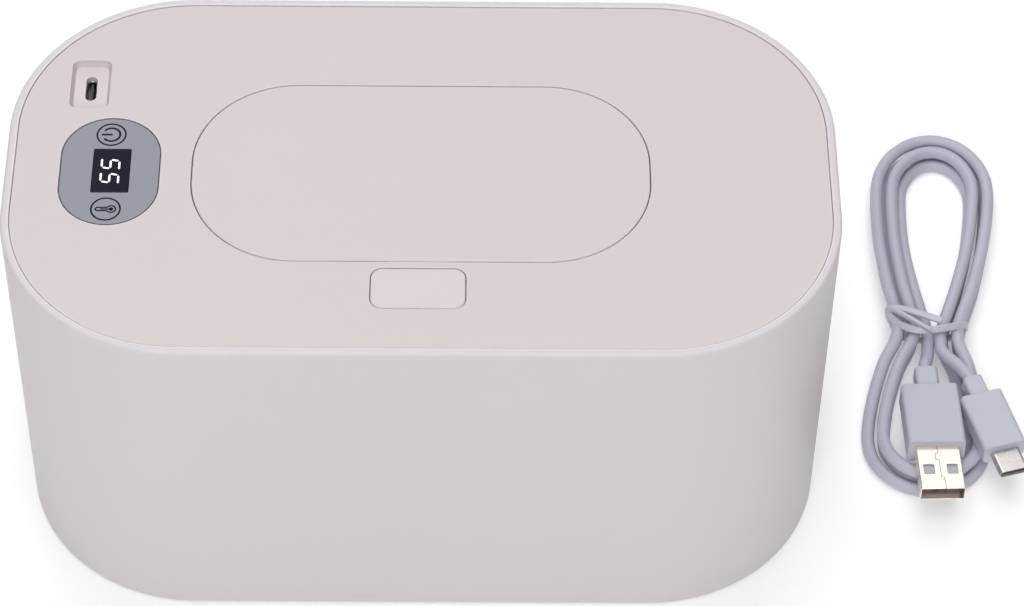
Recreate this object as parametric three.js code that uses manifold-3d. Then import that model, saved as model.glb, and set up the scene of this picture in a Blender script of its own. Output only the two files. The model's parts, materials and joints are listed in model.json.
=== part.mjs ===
// Baby wipe warmer: a tub for the wipes, a heated lid with a flap, and its charging cable.
// Millimetres, +Z up, +X to the right, -Y to the front. The origin is the middle of the base.
import * as THREE from 'three';
import { mergeVertices } from 'three/addons/utils/BufferGeometryUtils.js';
import Module from 'manifold-3d';

const wasm = await Module();
wasm.setup();

// Driving dimensions
const overallWidth = 210;
const overallDepth = 119.5;
const overallHeight = 104.5;
const cornerRadius = 45.8;
const wall = 2.2;
const footProud = 0.4;
const seat = 0.3; // gap where one piece rests on or beside another
const running = 0.1; // gap round a pin that turns
const overrun = 1; // how far a cutting solid passes the face that it cuts
const ceilingCut = 0.02; // how far two joined solids reach into each other
const cornerSteps = 12;
const smallCornerSteps = 5;
const roundSides = 16;
const mergeDistance = 0.0005; // vertices closer than this are one
const halfWidth = overallWidth / 2;
const halfDepth = overallDepth / 2;
const cornerSigns = [[1, 1], [-1, 1], [-1, -1], [1, -1]];

// Points of a quarter or other arc in a profile of [inset, height] pairs
function profileArc(centreInset, centreZ, radius, from, to, steps) {
  const points = [];
  for (let i = 0; i <= steps; i += 1) {
    const angle = from + ((to - from) * i) / steps;
    points.push([centreInset + radius * Math.cos(angle), centreZ + radius * Math.sin(angle)]);
  }
  return points;
}

// Outline of a rounded rectangle, anticlockwise
function roundedOutline(halfX, halfY, radius, centreX = 0, centreY = 0, steps = cornerSteps) {
  const points = [];
  cornerSigns.forEach(([signX, signY], quarter) => {
    for (let i = 0; i <= steps; i += 1) {
      const angle = (quarter + i / steps) * (Math.PI / 2);
      const x = centreX + signX * (halfX - radius) + radius * Math.cos(angle);
      const y = centreY + signY * (halfY - radius) + radius * Math.sin(angle);
      points.push(new THREE.Vector2(x, y));
    }
  });
  return points;
}

// Closed solid through a stack of rings with the same number of points
function ringSolid(rings, closed = false) {
  const count = rings[0].length;
  const positions = rings.flat().flatMap((point) => [point.x, point.y, point.z]);
  const indices = [];
  const last = closed ? rings.length : rings.length - 1;
  for (let i = 0; i < last; i += 1) {
    const low = i * count;
    const high = ((i + 1) % rings.length) * count;
    for (let j = 0; j < count; j += 1) {
      const next = (j + 1) % count;
      indices.push(low + j, low + next, high + next, low + j, high + next, high + j);
    }
  }
  if (!closed) {
    const top = (rings.length - 1) * count;
    for (let j = 1; j < count - 1; j += 1) {
      indices.push(0, j + 1, j, top, top + j, top + j + 1);
    }
  }
  const geometry = new THREE.BufferGeometry();
  geometry.setAttribute('position', new THREE.Float32BufferAttribute(positions, 3));
  geometry.setIndex(indices);
  return facingOut(mergeVertices(geometry, mergeDistance));
}

// Turns a closed mesh's faces outwards, judged by its signed volume
function facingOut(geometry) {
  const position = geometry.getAttribute('position');
  const index = geometry.getIndex();
  const corners = [new THREE.Vector3(), new THREE.Vector3(), new THREE.Vector3()];
  let volume = 0;
  for (let i = 0; i < index.count; i += 3) {
    corners.forEach((corner, k) => corner.fromBufferAttribute(position, index.getX(i + k)));
    volume += corners[0].dot(corners[1].clone().cross(corners[2]));
  }
  if (volume < 0) {
    const flipped = Array.from(index.array);
    for (let i = 0; i < flipped.length; i += 3) {
      [flipped[i + 1], flipped[i + 2]] = [flipped[i + 2], flipped[i + 1]];
    }
    geometry.setIndex(flipped);
  }
  return geometry;
}

// Solid whose outline, a rounded rectangle, is inset and lifted as a profile says
function insetSolid(size, profile, closed = false) {
  const rings = profile.map(([inset, z]) => roundedOutline(
    size.halfX - inset,
    size.halfY - inset,
    size.radius - inset,
    size.x,
    size.y,
    size.steps,
  ).map((point) => new THREE.Vector3(point.x, point.y, z)));
  return ringSolid(rings, closed);
}

// Upright prism on any outline
function prism(outline, low, high) {
  const shape = new THREE.Shape(outline);
  const geometry = new THREE.ExtrudeGeometry(shape, { depth: high - low, bevelEnabled: false });
  geometry.translate(0, 0, low);
  return geometry;
}

// Prism on an outline of [y, z] pairs, from one X to another
function crossPrism(outline, lowX, highX) {
  const shape = new THREE.Shape(outline.map(([y, z]) => new THREE.Vector2(y, z)));
  const geometry = new THREE.ExtrudeGeometry(shape, { depth: highX - lowX, bevelEnabled: false });
  geometry.rotateX(Math.PI / 2);
  geometry.rotateZ(Math.PI / 2);
  geometry.translate(lowX, 0, 0);
  return geometry;
}

function block(lowX, highX, lowY, highY, lowZ, highZ) {
  const geometry = new THREE.BoxGeometry(highX - lowX, highY - lowY, highZ - lowZ);
  geometry.translate((lowX + highX) / 2, (lowY + highY) / 2, (lowZ + highZ) / 2);
  return geometry;
}

function uprightCylinder(radius, x, y, low, high, sides = roundSides) {
  const geometry = new THREE.CylinderGeometry(radius, radius, high - low, sides);
  geometry.rotateX(Math.PI / 2);
  geometry.translate(x, y, (low + high) / 2);
  return geometry;
}

function crossCylinder(radius, lowX, highX, y, z, sides = roundSides) {
  const geometry = new THREE.CylinderGeometry(radius, radius, highX - lowX, sides);
  geometry.rotateZ(Math.PI / 2);
  geometry.translate((lowX + highX) / 2, y, z);
  return geometry;
}

// Solid for joining and cutting, from a closed geometry
function solid(geometry) {
  const bare = geometry.clone();
  bare.deleteAttribute('normal');
  bare.deleteAttribute('uv');
  const merged = facingOut(mergeVertices(bare, mergeDistance));
  return new wasm.Manifold(new wasm.Mesh({
    numProp: 3,
    vertProperties: new Float32Array(merged.getAttribute('position').array),
    triVerts: new Uint32Array(merged.getIndex().array),
  }));
}

function join(...geometries) {
  return geometries.map(solid).reduce((whole, next) => whole.add(next));
}

function cut(whole, ...geometries) {
  return geometries.map(solid).reduce((left, next) => left.subtract(next), whole);
}

// Geometry of a joined and cut solid
function geometryOf(manifold) {
  const mesh = manifold.getMesh();
  const geometry = new THREE.BufferGeometry();
  geometry.setAttribute('position', new THREE.BufferAttribute(mesh.vertProperties, 3));
  geometry.setIndex(new THREE.BufferAttribute(mesh.triVerts, 1));
  return geometry;
}

const wipeWarmer = new THREE.Group();

function finish(color, roughness, metalness = 0) {
  return new THREE.MeshStandardMaterial({ color, roughness, metalness });
}

const finishes = {
  shellPlastic: () => finish(0xece4e1, 0.55),
  innerPlastic: () => finish(0xe6e0dc, 0.6),
  panelFilm: () => finish(0xa3a8b4, 0.35),
  darkWindow: () => finish(0x22242e, 0.12),
  blackPlastic: () => finish(0x1d1d20, 0.5),
  boardGreen: () => finish(0x1f5a3a, 0.5),
  steel: () => finish(0xc9c5bf, 0.3, 1),
  aluminium: () => finish(0xd0d2d4, 0.4, 1),
  heaterAmber: () => finish(0xb9772d, 0.4),
  foam: () => finish(0x55585c, 0.95),
  greyRubber: () => finish(0xb8b6b4, 0.9),
  clearSilicone: () => finish(0xf0efee, 0.5),
  cableJacket: () => finish(0xb9b9c8, 0.5),
  whitePlastic: () => finish(0xf4f3f0, 0.45),
  leadRed: () => finish(0xb33a32, 0.5),
};

function add(name, shape, material) {
  const geometry = shape.isBufferGeometry ? shape : geometryOf(shape);
  const mesh = new THREE.Mesh(geometry, material);
  mesh.name = name;
  wipeWarmer.add(mesh);
}

// Tub: one deep moulding with a ledge for the lid, and a round pocket for each foot
const tubSize = {
  halfX: halfWidth,
  halfY: halfDepth,
  radius: cornerRadius,
  x: 0,
  y: 0,
  steps: cornerSteps,
};
const tub = { floor: 2.4, baseFillet: 0.8, rimFillet: 0.6, insideFillet: 4 };
const ledge = { width: 3, thickness: 2, gusset: 3 };
const lid = { drop: 0.3, gap: 0.35, plate: 2, skirt: 1.8, edgeFillet: 0.4 };
const lidTop = overallHeight - lid.drop;
const tubFloor = footProud + tub.floor;
const foot = { radius: 6, height: 1.3, edge: 0.4, gap: 0.3, pocket: 1.2 };
const footInsetShares = { x: 0.72, y: 0.56 }; // of the corner radius
const footPlaces = cornerSigns.map(([signX, signY]) => [
  signX * (halfWidth - footInsetShares.x * cornerRadius),
  signY * (halfDepth - footInsetShares.y * cornerRadius),
]);

// The lid's layers, from its top down to its foot, which rests on the tub's ledge
const well = { depth: 5.6, floor: 1.6, wall: 1.5, edge: 0.3 };
const latch = {
  halfWidth: 10,
  thickness: 1.5,
  under: 0.4,
  rise: 3,
  hookGap: 0.25,
  front: 7.5,
  slotSide: 0.3,
};
const frame = { rimThickness: 3.6, plate: 1.6, stepInset: 13.5, stepWall: 1.6, throatWall: 1.6 };
const heater = { plate: 1.2, film: 0.3, pad: 1.6, rise: 0.3, edgeGap: 0.6 };
const wellFloor = lidTop - well.depth;
const wellBottom = wellFloor - well.floor;
const sliderHigh = wellBottom - latch.under;
const sliderLow = sliderHigh - latch.thickness;
const frameTop = sliderLow - latch.rise;
const frameCeiling = frameTop - frame.plate;
const padHigh = frameCeiling - seat;
const padLow = padHigh - heater.pad;
const filmHigh = padLow - seat;
const filmLow = filmHigh - heater.film;
const heaterPlateHigh = filmLow - seat;
const heaterPlateLow = heaterPlateHigh - heater.plate;
const lidBottom = heaterPlateLow - heater.rise;
const ledgeTop = lidBottom - seat;
const frameRimTop = lidBottom + frame.rimThickness;

const rimHeight = overallHeight - tub.rimFillet;
const tubProfile = [
  ...profileArc(tub.baseFillet, footProud + tub.baseFillet, tub.baseFillet, -Math.PI / 2, -Math.PI, 3),
  ...profileArc(tub.rimFillet, rimHeight, tub.rimFillet, Math.PI, Math.PI / 2, 2),
  ...profileArc(wall - tub.rimFillet, rimHeight, tub.rimFillet, Math.PI / 2, 0, 2),
  [wall, ledgeTop],
  [wall + ledge.width, ledgeTop],
  [wall + ledge.width, ledgeTop - ledge.thickness],
  [wall, ledgeTop - ledge.thickness - ledge.gusset],
  ...profileArc(
    wall + tub.insideFillet,
    tubFloor + tub.insideFillet,
    tub.insideFillet,
    -Math.PI,
    -Math.PI / 2,
    3,
  ),
];
const footPockets = footPlaces.map(([x, y]) => uprightCylinder(
  foot.radius + foot.gap,
  x,
  y,
  footProud - overrun,
  footProud + foot.pocket,
));
add('tub', cut(solid(insetSolid(tubSize, tubProfile)), ...footPockets), finishes.shellPlastic());

footPlaces.forEach(([x, y], i) => {
  const profile = [
    new THREE.Vector2(0, 0),
    new THREE.Vector2(foot.radius - foot.edge, 0),
    new THREE.Vector2(foot.radius, foot.edge),
    new THREE.Vector2(foot.radius, foot.height),
    new THREE.Vector2(0, foot.height),
  ];
  const geometry = new THREE.LatheGeometry(profile, roundSides);
  geometry.rotateX(Math.PI / 2);
  geometry.translate(x, y, 0);
  add(`rubber_foot_${i + 1}`, solid(geometry), finishes.greyRubber());
});

// Flap, set in by its margins, and its well in the lid cover
const flapMargin = { side: 47.35, frontAndRear: 30.25, cornerFlat: 3.2 };
const flapDepth = overallDepth - 2 * flapMargin.frontAndRear;
const flap = {
  width: overallWidth - 2 * flapMargin.side,
  depth: flapDepth,
  radius: flapDepth / 2 - flapMargin.cornerFlat,
  x: -0.3,
  y: -0.3,
  gap: 0.45,
  thickness: 3,
  skin: 1.6,
  ribInset: 4,
  rearRib: 6.6,
  edgeFillet: 0.4,
  undercut: 1.8,
  tabWidth: 15,
  tabReach: 0.3,
};
const flapRear = flap.y + flap.depth / 2;
const flapFront = flap.y - flap.depth / 2;
const flapBottom = lidTop - flap.thickness;

function flapOutline(grow) {
  return roundedOutline(
    flap.width / 2 + grow,
    flap.depth / 2 + grow,
    flap.radius + grow,
    flap.x,
    flap.y,
    smallCornerSteps * 2,
  );
}

// Hinge of two bent arms: its axis lies behind the flap's rear edge, under the cover's plate, and each arm
// goes down from the flap and round the plate's edge to its pin, which two ears carry
const hinge = {
  behind: 4.7,
  depth: 4,
  travel: 95 * (Math.PI / 180),
  pinRadius: 0.8,
  armX: 20,
  armHalf: 3,
  armThickness: 2.1,
  armRise: 1,
  armCorner: 1.2,
  stemRear: 1,
  clear: 0.4,
  earWidth: 3,
  earHalf: 1.9,
  earGap: 0.35,
  slotRoom: 0.6,
};
const hingeY = flapRear + hinge.behind;
const hingeZ = lidTop - hinge.depth;
const earInner = hinge.armHalf + hinge.earGap;
const earOuter = earInner + hinge.earWidth;
const armSpans = [-1, 1].map((side) => [
  side * hinge.armX - hinge.armHalf,
  side * hinge.armX + hinge.armHalf,
]);
const flapSpring = { wire: 0.25, coil: 1.1, curls: 5, pitch: 0.95, gap: 0.4 };
const springLength = flapSpring.curls * flapSpring.pitch;
const springStart = hinge.armX - earOuter - flapSpring.gap - flapSpring.wire;
const springEnd = springStart - springLength;

// Where the plate's edge lies from the axis when the flap is wide open, in the closed flap's directions
function seenFromOpenFlap(y, z) {
  const cos = Math.cos(hinge.travel);
  const sin = Math.sin(hinge.travel);
  return { y: y * cos - z * sin, z: y * sin + z * cos };
}
const plateEdge = flap.gap - hinge.behind;
const lipTop = seenFromOpenFlap(plateEdge, hinge.depth);
const lipUnder = seenFromOpenFlap(plateEdge, hinge.depth - lid.plate);
const barrelRadius = hinge.depth - lid.plate - hinge.clear;
const armInner = Math.hypot(plateEdge, hinge.depth) + hinge.clear;
const armOuter = armInner + hinge.armThickness;
const armMouth = Math.min(lipTop.z, lipUnder.z) - hinge.clear;
const armFoot = armMouth - hinge.armThickness;
const armTop = hinge.depth - flap.thickness + hinge.armRise;
const stemFront = lipUnder.y + hinge.clear;

// Button, hook and their places
const buttonDepth = 12.7;
const buttonSpacing = 2.35; // from the flap's front edge to the button's rear edge
const button = {
  width: 23.4,
  depth: buttonDepth,
  radius: 3,
  x: -0.6,
  y: flapFront - buttonSpacing - buttonDepth / 2,
  gap: 0.35,
  plate: 1.6,
  wall: 1.2,
  height: 4.3,
  travel: 2,
  edgeFillet: 0.5,
  flangeReach: 1.2,
  flangeThickness: 1,
};
const buttonBottom = lidTop - button.height;
const latchFrontY = button.y - latch.front;
const hook = {
  halfWidth: 5,
  tongueFront: 1.5,
  tongue: 1.4,
  toothReach: 1,
  toothHeight: 1,
  side: 0.6,
  swing: 0.95,
  rearRoom: 0.7,
};

// Lid inner frame: a rim under the lid, a raised middle over the heater, and a throat for the wipes
const frameInset = wall + lid.gap + lid.skirt + seat;
const throatMargin = { side: 21.65, frontAndRear: 14.5 };
const throatHalfY = flap.depth / 2 - throatMargin.frontAndRear;
const throat = {
  halfX: flap.width / 2 - throatMargin.side,
  halfY: throatHalfY,
  radius: throatHalfY,
};

function throatOutline(grow) {
  return roundedOutline(
    throat.halfX + grow,
    throat.halfY + grow,
    throat.radius + grow,
    flap.x,
    flap.y,
    smallCornerSteps + 1,
  );
}

// Hook: the places of its tooth, under the latch slider's nose
const hookFront = flapFront + hook.tongueFront - hook.toothReach;
const toothTop = sliderLow - seat;
const toothLow = toothTop - hook.toothHeight;

// Control panel, display and charging socket
const socketInset = { side: 19.5, rear: 30.5 }; // from the tub's left side and its rear
const socketPocket = {
  halfX: 4.3,
  halfY: 7.6,
  x: socketInset.side - halfWidth,
  y: halfDepth - socketInset.rear,
  radius: 1.4,
  depth: 2.2,
  floor: 1.6,
  wall: 1.4,
  slope: 0.8,
};
const portShift = 0.3;
const port = { halfX: 1.45, halfY: 4.2, y: socketPocket.y + portShift };
const socket = {
  halfX: 1.65,
  halfY: 4.47,
  wall: 0.3,
  tongueHalfX: 0.35,
  tongueHalfY: 3.3,
  backing: 1,
};
const panelInset = { side: 26.35, socket: 29.85 }; // from the tub's left side and from the socket
const panel = {
  width: 25.3,
  depth: 36.1,
  x: panelInset.side - halfWidth,
  y: socketPocket.y - panelInset.socket,
  film: 0.5,
  sunk: 0.1,
  gap: 0.15,
};
const displayShift = { x: 0.35, y: 0.14 };
const display = {
  width: 9.3,
  depth: 14.5,
  x: panel.x + displayShift.x,
  y: panel.y + displayShift.y,
  gap: 0.15,
  corner: 0.3,
};
const displayModule = { height: 4.8, grow: 0.6, gap: 0.4 };
const touchPad = { radius: 3, offset: 12.6 };
const boardShift = { x: 1.05, front: 17.4, back: 22.1 };
const board = {
  thickness: 1.2,
  halfX: 13,
  x: panel.x + boardShift.x,
  frontY: panel.y - boardShift.front,
  backY: panel.y + boardShift.back,
  postRadius: 2.2,
  screwRadius: 1.1,
};
const boardScrewShift = { x: 6.6, edge: 3.5 };
const boardScrewPlaces = [
  [board.x + boardScrewShift.x, board.frontY + boardScrewShift.edge],
  [board.x + boardScrewShift.x, board.backY - boardScrewShift.edge],
];
const filmTop = lidTop - panel.sunk;
const filmUnder = filmTop - panel.film;
const panelBed = filmUnder - seat;
const windowLow = filmUnder;
const moduleTop = windowLow - seat;
const boardTop = moduleTop - displayModule.height;
const boardLow = boardTop - board.thickness;
const coverUnder = lidTop - lid.plate;
const pocketFloor = lidTop - socketPocket.depth;
const pocketUnder = pocketFloor - socketPocket.floor;
const socketTop = pocketUnder - seat;
const socketBoard = { halfX: 5.2, halfY: 7, thickness: 1.2 };
const socketBoardLow = frameTop + seat;
const socketBoardTop = socketBoardLow + socketBoard.thickness;
const socketLow = socketBoardTop + seat;

// Lid screws, driven up through the rim of the inner frame into bosses of the cover
const lidScrew = {
  radius: 1.3,
  length: 9,
  headRadius: 2.6,
  headHeight: 1.8,
  bossRadius: 3,
  sink: 2.2,
  inset: 8.85,
  pastCorner: 4.2,
};
const screwPlaces = cornerSigns.map(([signX, signY]) => [
  signX * (halfWidth - cornerRadius - lidScrew.pastCorner),
  signY * (halfDepth - lidScrew.inset),
]);

// Lid cover
const coverInset = wall + lid.gap;
const coverProfile = [
  ...profileArc(
    coverInset + lid.edgeFillet,
    lidTop - lid.edgeFillet,
    lid.edgeFillet,
    Math.PI / 2,
    Math.PI,
    2,
  ),
  [coverInset, lidBottom],
  [coverInset + lid.skirt, lidBottom],
  [coverInset + lid.skirt, coverUnder],
];
const coverBody = join(
  insetSolid(tubSize, coverProfile),
  prism(flapOutline(flap.gap + well.wall), wellBottom, coverUnder + ceilingCut),
  prism(
    roundedOutline(
      socketPocket.halfX + socketPocket.wall,
      socketPocket.halfY + socketPocket.wall,
      socketPocket.radius + socketPocket.wall,
      socketPocket.x,
      socketPocket.y,
      smallCornerSteps,
    ),
    pocketUnder,
    coverUnder + ceilingCut,
  ),
  ...screwPlaces.map(([x, y]) => uprightCylinder(
    lidScrew.bossRadius,
    x,
    y,
    frameRimTop + seat,
    coverUnder + ceilingCut,
  )),
);
const socketPocketRings = [
  [0, pocketFloor],
  [-socketPocket.slope, lidTop],
  [-socketPocket.slope * (1 + overrun / socketPocket.depth), lidTop + overrun],
];
const flapSize = {
  halfX: flap.width / 2,
  halfY: flap.depth / 2,
  radius: flap.radius,
  x: flap.x,
  y: flap.y,
  steps: smallCornerSteps * 2,
};
const wellRings = [
  [-flap.gap, wellFloor],
  [-flap.gap, lidTop - well.edge],
  [-flap.gap - well.edge - overrun, lidTop + overrun],
];
const openedCover = cut(
  coverBody,
  insetSolid(flapSize, wellRings),
  insetSolid({ ...socketPocket, steps: smallCornerSteps }, socketPocketRings),
  ...armSpans.map(([low, high]) => block(
    low - hinge.slotRoom,
    high + hinge.slotRoom,
    hingeY - armOuter - hinge.slotRoom,
    flapRear + flap.gap + well.wall + overrun,
    wellBottom - overrun,
    coverUnder,
  )),
);
const earPlaces = [-1, 1].flatMap((side) => [-1, 1].map((end) => {
  const near = side * hinge.armX + end * earInner;
  const far = side * hinge.armX + end * earOuter;
  return [Math.min(near, far), Math.max(near, far)];
}));
const ears = earPlaces.map(([low, high]) => block(
  low,
  high,
  hingeY - hinge.earHalf,
  hingeY + hinge.earHalf,
  hingeZ - hinge.earHalf,
  coverUnder + ceilingCut,
));
const pinHoles = earPlaces.map(([low, high]) => crossCylinder(
  hinge.pinRadius + running,
  low - overrun,
  high + overrun,
  hingeY,
  hingeZ,
));
const buttonOutline = (grow) => roundedOutline(
  button.width / 2 + grow,
  button.depth / 2 + grow,
  button.radius + grow,
  button.x,
  button.y,
  smallCornerSteps,
);
const panelOutline = (grow) => roundedOutline(
  panel.width / 2 + grow,
  panel.depth / 2 + grow,
  panel.width / 2 + grow,
  panel.x,
  panel.y,
  smallCornerSteps * 2,
);
const displayOutline = (grow) => roundedOutline(
  display.width / 2 + grow,
  display.depth / 2 + grow,
  display.corner + grow,
  display.x,
  display.y,
  1,
);
const lidCover = cut(
  ears.map(solid).reduce((whole, next) => whole.add(next), openedCover),
  ...pinHoles,
  prism(throatOutline(0), wellBottom - overrun, wellFloor + overrun),
  block(
    button.x - hook.halfWidth - hook.side,
    button.x + hook.halfWidth + hook.side,
    hookFront - hook.swing,
    flapFront + hook.tongueFront + hook.tongue + hook.rearRoom,
    wellBottom - overrun,
    wellFloor + overrun,
  ),
  prism(buttonOutline(button.gap), coverUnder - overrun, lidTop + overrun),
  prism(panelOutline(panel.gap), panelBed, lidTop + overrun),
  prism(displayOutline(displayModule.grow + displayModule.gap), coverUnder - overrun, lidTop),
  block(
    socketPocket.x - port.halfX,
    socketPocket.x + port.halfX,
    port.y - port.halfY,
    port.y + port.halfY,
    pocketUnder - overrun,
    pocketFloor + overrun,
  ),
  ...screwPlaces.map(([x, y]) => uprightCylinder(
    lidScrew.radius + seat,
    x,
    y,
    frameRimTop - overrun,
    frameRimTop + lidScrew.length,
  )),
);
add('lid_cover', lidCover, finishes.shellPlastic());

// Flap: a plate with a thinner middle and an undercut edge, two hinge arms and a hook for the latch
const armOutline = [
  [-Math.sqrt(armInner ** 2 - armTop ** 2), armTop],
  ...profileArc(0, 0, armInner, Math.PI, Math.PI + Math.asin(-armMouth / armInner), 6),
  [stemFront, armMouth],
  [stemFront, 0],
  [hinge.stemRear, 0],
  [hinge.stemRear, armFoot + hinge.armCorner],
  [hinge.stemRear - hinge.armCorner, armFoot],
  ...profileArc(0, 0, armOuter, Math.PI + Math.asin(-armFoot / armOuter), Math.PI, 6),
  [-Math.sqrt(armOuter ** 2 - armTop ** 2), armTop],
].map(([y, z]) => [hingeY + y, hingeZ + z]);
const flapBody = join(
  insetSolid(flapSize, [
    [flap.undercut, flapBottom],
    [0, lidTop - flap.edgeFillet],
    [flap.edgeFillet, lidTop],
  ]),
  block(
    button.x - flap.tabWidth / 2,
    button.x + flap.tabWidth / 2,
    flapFront - flap.tabReach,
    flapFront + flap.ribInset,
    flapBottom,
    lidTop - flap.edgeFillet,
  ),
);
const tongueFrontY = flapFront + hook.tongueFront;
const flapPlate = cut(flapBody, insetSolid(
  {
    halfX: flap.width / 2 - flap.ribInset,
    halfY: flap.depth / 2 - flap.rearRib,
    radius: flap.radius - flap.rearRib,
    x: flap.x,
    y: flap.y,
    steps: smallCornerSteps,
  },
  [[0, flapBottom - overrun], [0, lidTop - flap.skin]],
));
const flapWithParts = armSpans.reduce(
  (whole, [low, high]) => whole
    .add(solid(crossPrism(armOutline, low, high)))
    .add(solid(crossCylinder(barrelRadius, low, high, hingeY, hingeZ))),
  flapPlate,
).add(solid(block(
  button.x - hook.halfWidth,
  button.x + hook.halfWidth,
  tongueFrontY,
  tongueFrontY + hook.tongue,
  toothLow,
  flapBottom + ceilingCut,
))).add(solid(block(
  button.x - hook.halfWidth,
  button.x + hook.halfWidth,
  hookFront,
  tongueFrontY + ceilingCut,
  toothLow,
  toothTop,
)));
const barrelBores = armSpans.map(([low, high]) => crossCylinder(
  hinge.pinRadius + running,
  low - overrun,
  high + overrun,
  hingeY,
  hingeZ,
));
add('flap', cut(flapWithParts, ...barrelBores), finishes.shellPlastic());

// Hinge pins; the right one reaches on through the flap spring
const pinLeft = [-hinge.armX - earOuter, -hinge.armX + earOuter];
const pinRight = [springEnd - flapSpring.gap, hinge.armX + earOuter];
[['hinge_pin_left', pinLeft], ['hinge_pin_right', pinRight]].forEach(([name, [low, high]]) => {
  add(name, solid(crossCylinder(hinge.pinRadius, low, high, hingeY, hingeZ)), finishes.steel());
});

// Tube along a list of points, with level ends, for springs, leads and the cable
const uprightShare = 0.1; // a path this close to upright starts its section from another side
function tube(points, radius, sides) {
  const frames = [];
  let side = new THREE.Vector3(0, 0, 1);
  points.forEach((point, i) => {
    const before = points[Math.max(i - 1, 0)];
    const after = points[Math.min(i + 1, points.length - 1)];
    const along = after.clone().sub(before).normalize();
    side = side.clone().sub(along.clone().multiplyScalar(side.dot(along)));
    if (side.length() < uprightShare) {
      side = new THREE.Vector3(1, 0, 0).sub(along.clone().multiplyScalar(along.x));
    }
    side.normalize();
    const other = along.clone().cross(side);
    const ring = [];
    for (let j = 0; j < sides; j += 1) {
      const angle = (j / sides) * Math.PI * 2;
      ring.push(point.clone()
        .add(side.clone().multiplyScalar(radius * Math.cos(angle)))
        .add(other.clone().multiplyScalar(radius * Math.sin(angle))));
    }
    frames.push(ring);
  });
  return ringSolid(frames);
}

// Helix of a number of curls along an axis, eight steps a curl
const curlSteps = 8;
const wireSides = 5;
function helix(start, along, across, radius, curls, length) {
  const third = along.clone().cross(across);
  const points = [];
  for (let i = 0; i <= curls * curlSteps; i += 1) {
    const angle = (i / curlSteps) * Math.PI * 2;
    points.push(start.clone()
      .add(along.clone().multiplyScalar((length * i) / (curls * curlSteps)))
      .add(across.clone().multiplyScalar(radius * Math.cos(angle)))
      .add(third.clone().multiplyScalar(radius * Math.sin(angle))));
  }
  return points;
}

const axisX = new THREE.Vector3(1, 0, 0);
const axisY = new THREE.Vector3(0, 1, 0);
const axisZ = new THREE.Vector3(0, 0, 1);
const flapSpringPoints = helix(
  new THREE.Vector3(springEnd, hingeY, hingeZ),
  axisX,
  axisZ.clone().negate(),
  flapSpring.coil,
  flapSpring.curls,
  springLength,
);
add('flap_spring', tube(flapSpringPoints, flapSpring.wire, wireSides), finishes.steel());

// Soft seal on the well's floor, round the throat
const seal = { width: 2.2, inset: 1.2, edge: 0.5 };
const sealRing = (grow) => ({
  halfX: throat.halfX + grow,
  halfY: throat.halfY + grow,
  radius: throat.radius + grow,
  x: flap.x,
  y: flap.y,
  steps: smallCornerSteps + 1,
});
const sealLow = wellFloor + seat;
const sealTop = flapBottom - seat;
add('flap_seal', insetSolid(
  sealRing(seal.inset + seal.width),
  [
    [0, sealLow],
    [0, sealTop - seal.edge],
    [seal.edge, sealTop],
    [seal.width - seal.edge, sealTop],
    [seal.width, sealTop - seal.edge],
    [seal.width, sealLow],
  ],
  true,
), finishes.clearSilicone());

// Push button: a cap with a skirt, two retaining flanges and two wedge legs for the latch
const latchX = button.x;
const leg = { inner: 5.4, outer: 7.4, rear: 3, tipDrop: 0.6, depth: 4.5, rampGap: 0.35 };
const flange = { halfDepth: 3 };
const buttonUnder = lidTop - button.plate;
const legRearY = button.y + leg.rear;
const legTip = sliderLow - leg.tipDrop;
const legOutline = [
  [legRearY, legTip],
  [legRearY, buttonUnder + ceilingCut],
  [legRearY - leg.depth, buttonUnder + ceilingCut],
  [legRearY - leg.depth, legTip + leg.depth],
];
const legSpans = [
  [latchX - leg.outer, latchX - leg.inner],
  [latchX + leg.inner, latchX + leg.outer],
];
const flangeTop = coverUnder - seat;
const flangeReach = button.width / 2 + button.gap + button.flangeReach;
const buttonSize = {
  halfX: button.width / 2,
  halfY: button.depth / 2,
  radius: button.radius,
  x: button.x,
  y: button.y,
  steps: smallCornerSteps,
};
const capEdge = profileArc(
  button.edgeFillet,
  lidTop - button.edgeFillet,
  button.edgeFillet,
  Math.PI,
  Math.PI / 2,
  2,
);
const buttonCap = cut(
  join(
    insetSolid(buttonSize, [[0, buttonBottom], ...capEdge]),
    block(
      button.x - flangeReach,
      button.x + flangeReach,
      button.y - flange.halfDepth,
      button.y + flange.halfDepth,
      flangeTop - button.flangeThickness,
      flangeTop,
    ),
  ),
  insetSolid(buttonSize, [[button.wall, buttonBottom - overrun], [button.wall, buttonUnder]]),
);
const buttonLegs = legSpans.map(([low, high]) => solid(crossPrism(legOutline, low, high)));
add('push_button', buttonLegs.reduce((whole, next) => whole.add(next), buttonCap), finishes.shellPlastic());

// Latch slider: a plate that the legs push forwards, away from the flap's hook
const springPost = { radius: 2, springHeight: 5.6, room: 0.4 };
const slotFrontLow = legRearY - leg.tipDrop - leg.rampGap;
const slotFrontHigh = slotFrontLow - latch.thickness;
const slotRearY = legRearY + button.travel + latch.slotSide;
const slotOutline = [
  [slotFrontLow + overrun, sliderLow - overrun],
  [slotRearY, sliderLow - overrun],
  [slotRearY, sliderHigh + overrun],
  [slotFrontHigh - overrun, sliderHigh + overrun],
];
const latchSlider = cut(
  solid(block(
    latchX - latch.halfWidth,
    latchX + latch.halfWidth,
    latchFrontY,
    hookFront - latch.hookGap,
    sliderLow,
    sliderHigh,
  )),
  ...legSpans.map(([low, high]) => crossPrism(slotOutline, low - latch.slotSide, high + latch.slotSide)),
  block(
    latchX - springPost.radius - springPost.room,
    latchX + springPost.radius + springPost.room,
    button.y - springPost.radius - springPost.room,
    button.y + springPost.radius + springPost.room + button.travel,
    sliderLow - overrun,
    sliderHigh + overrun,
  ),
);
add('latch_slider', latchSlider, finishes.innerPlastic());

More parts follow.
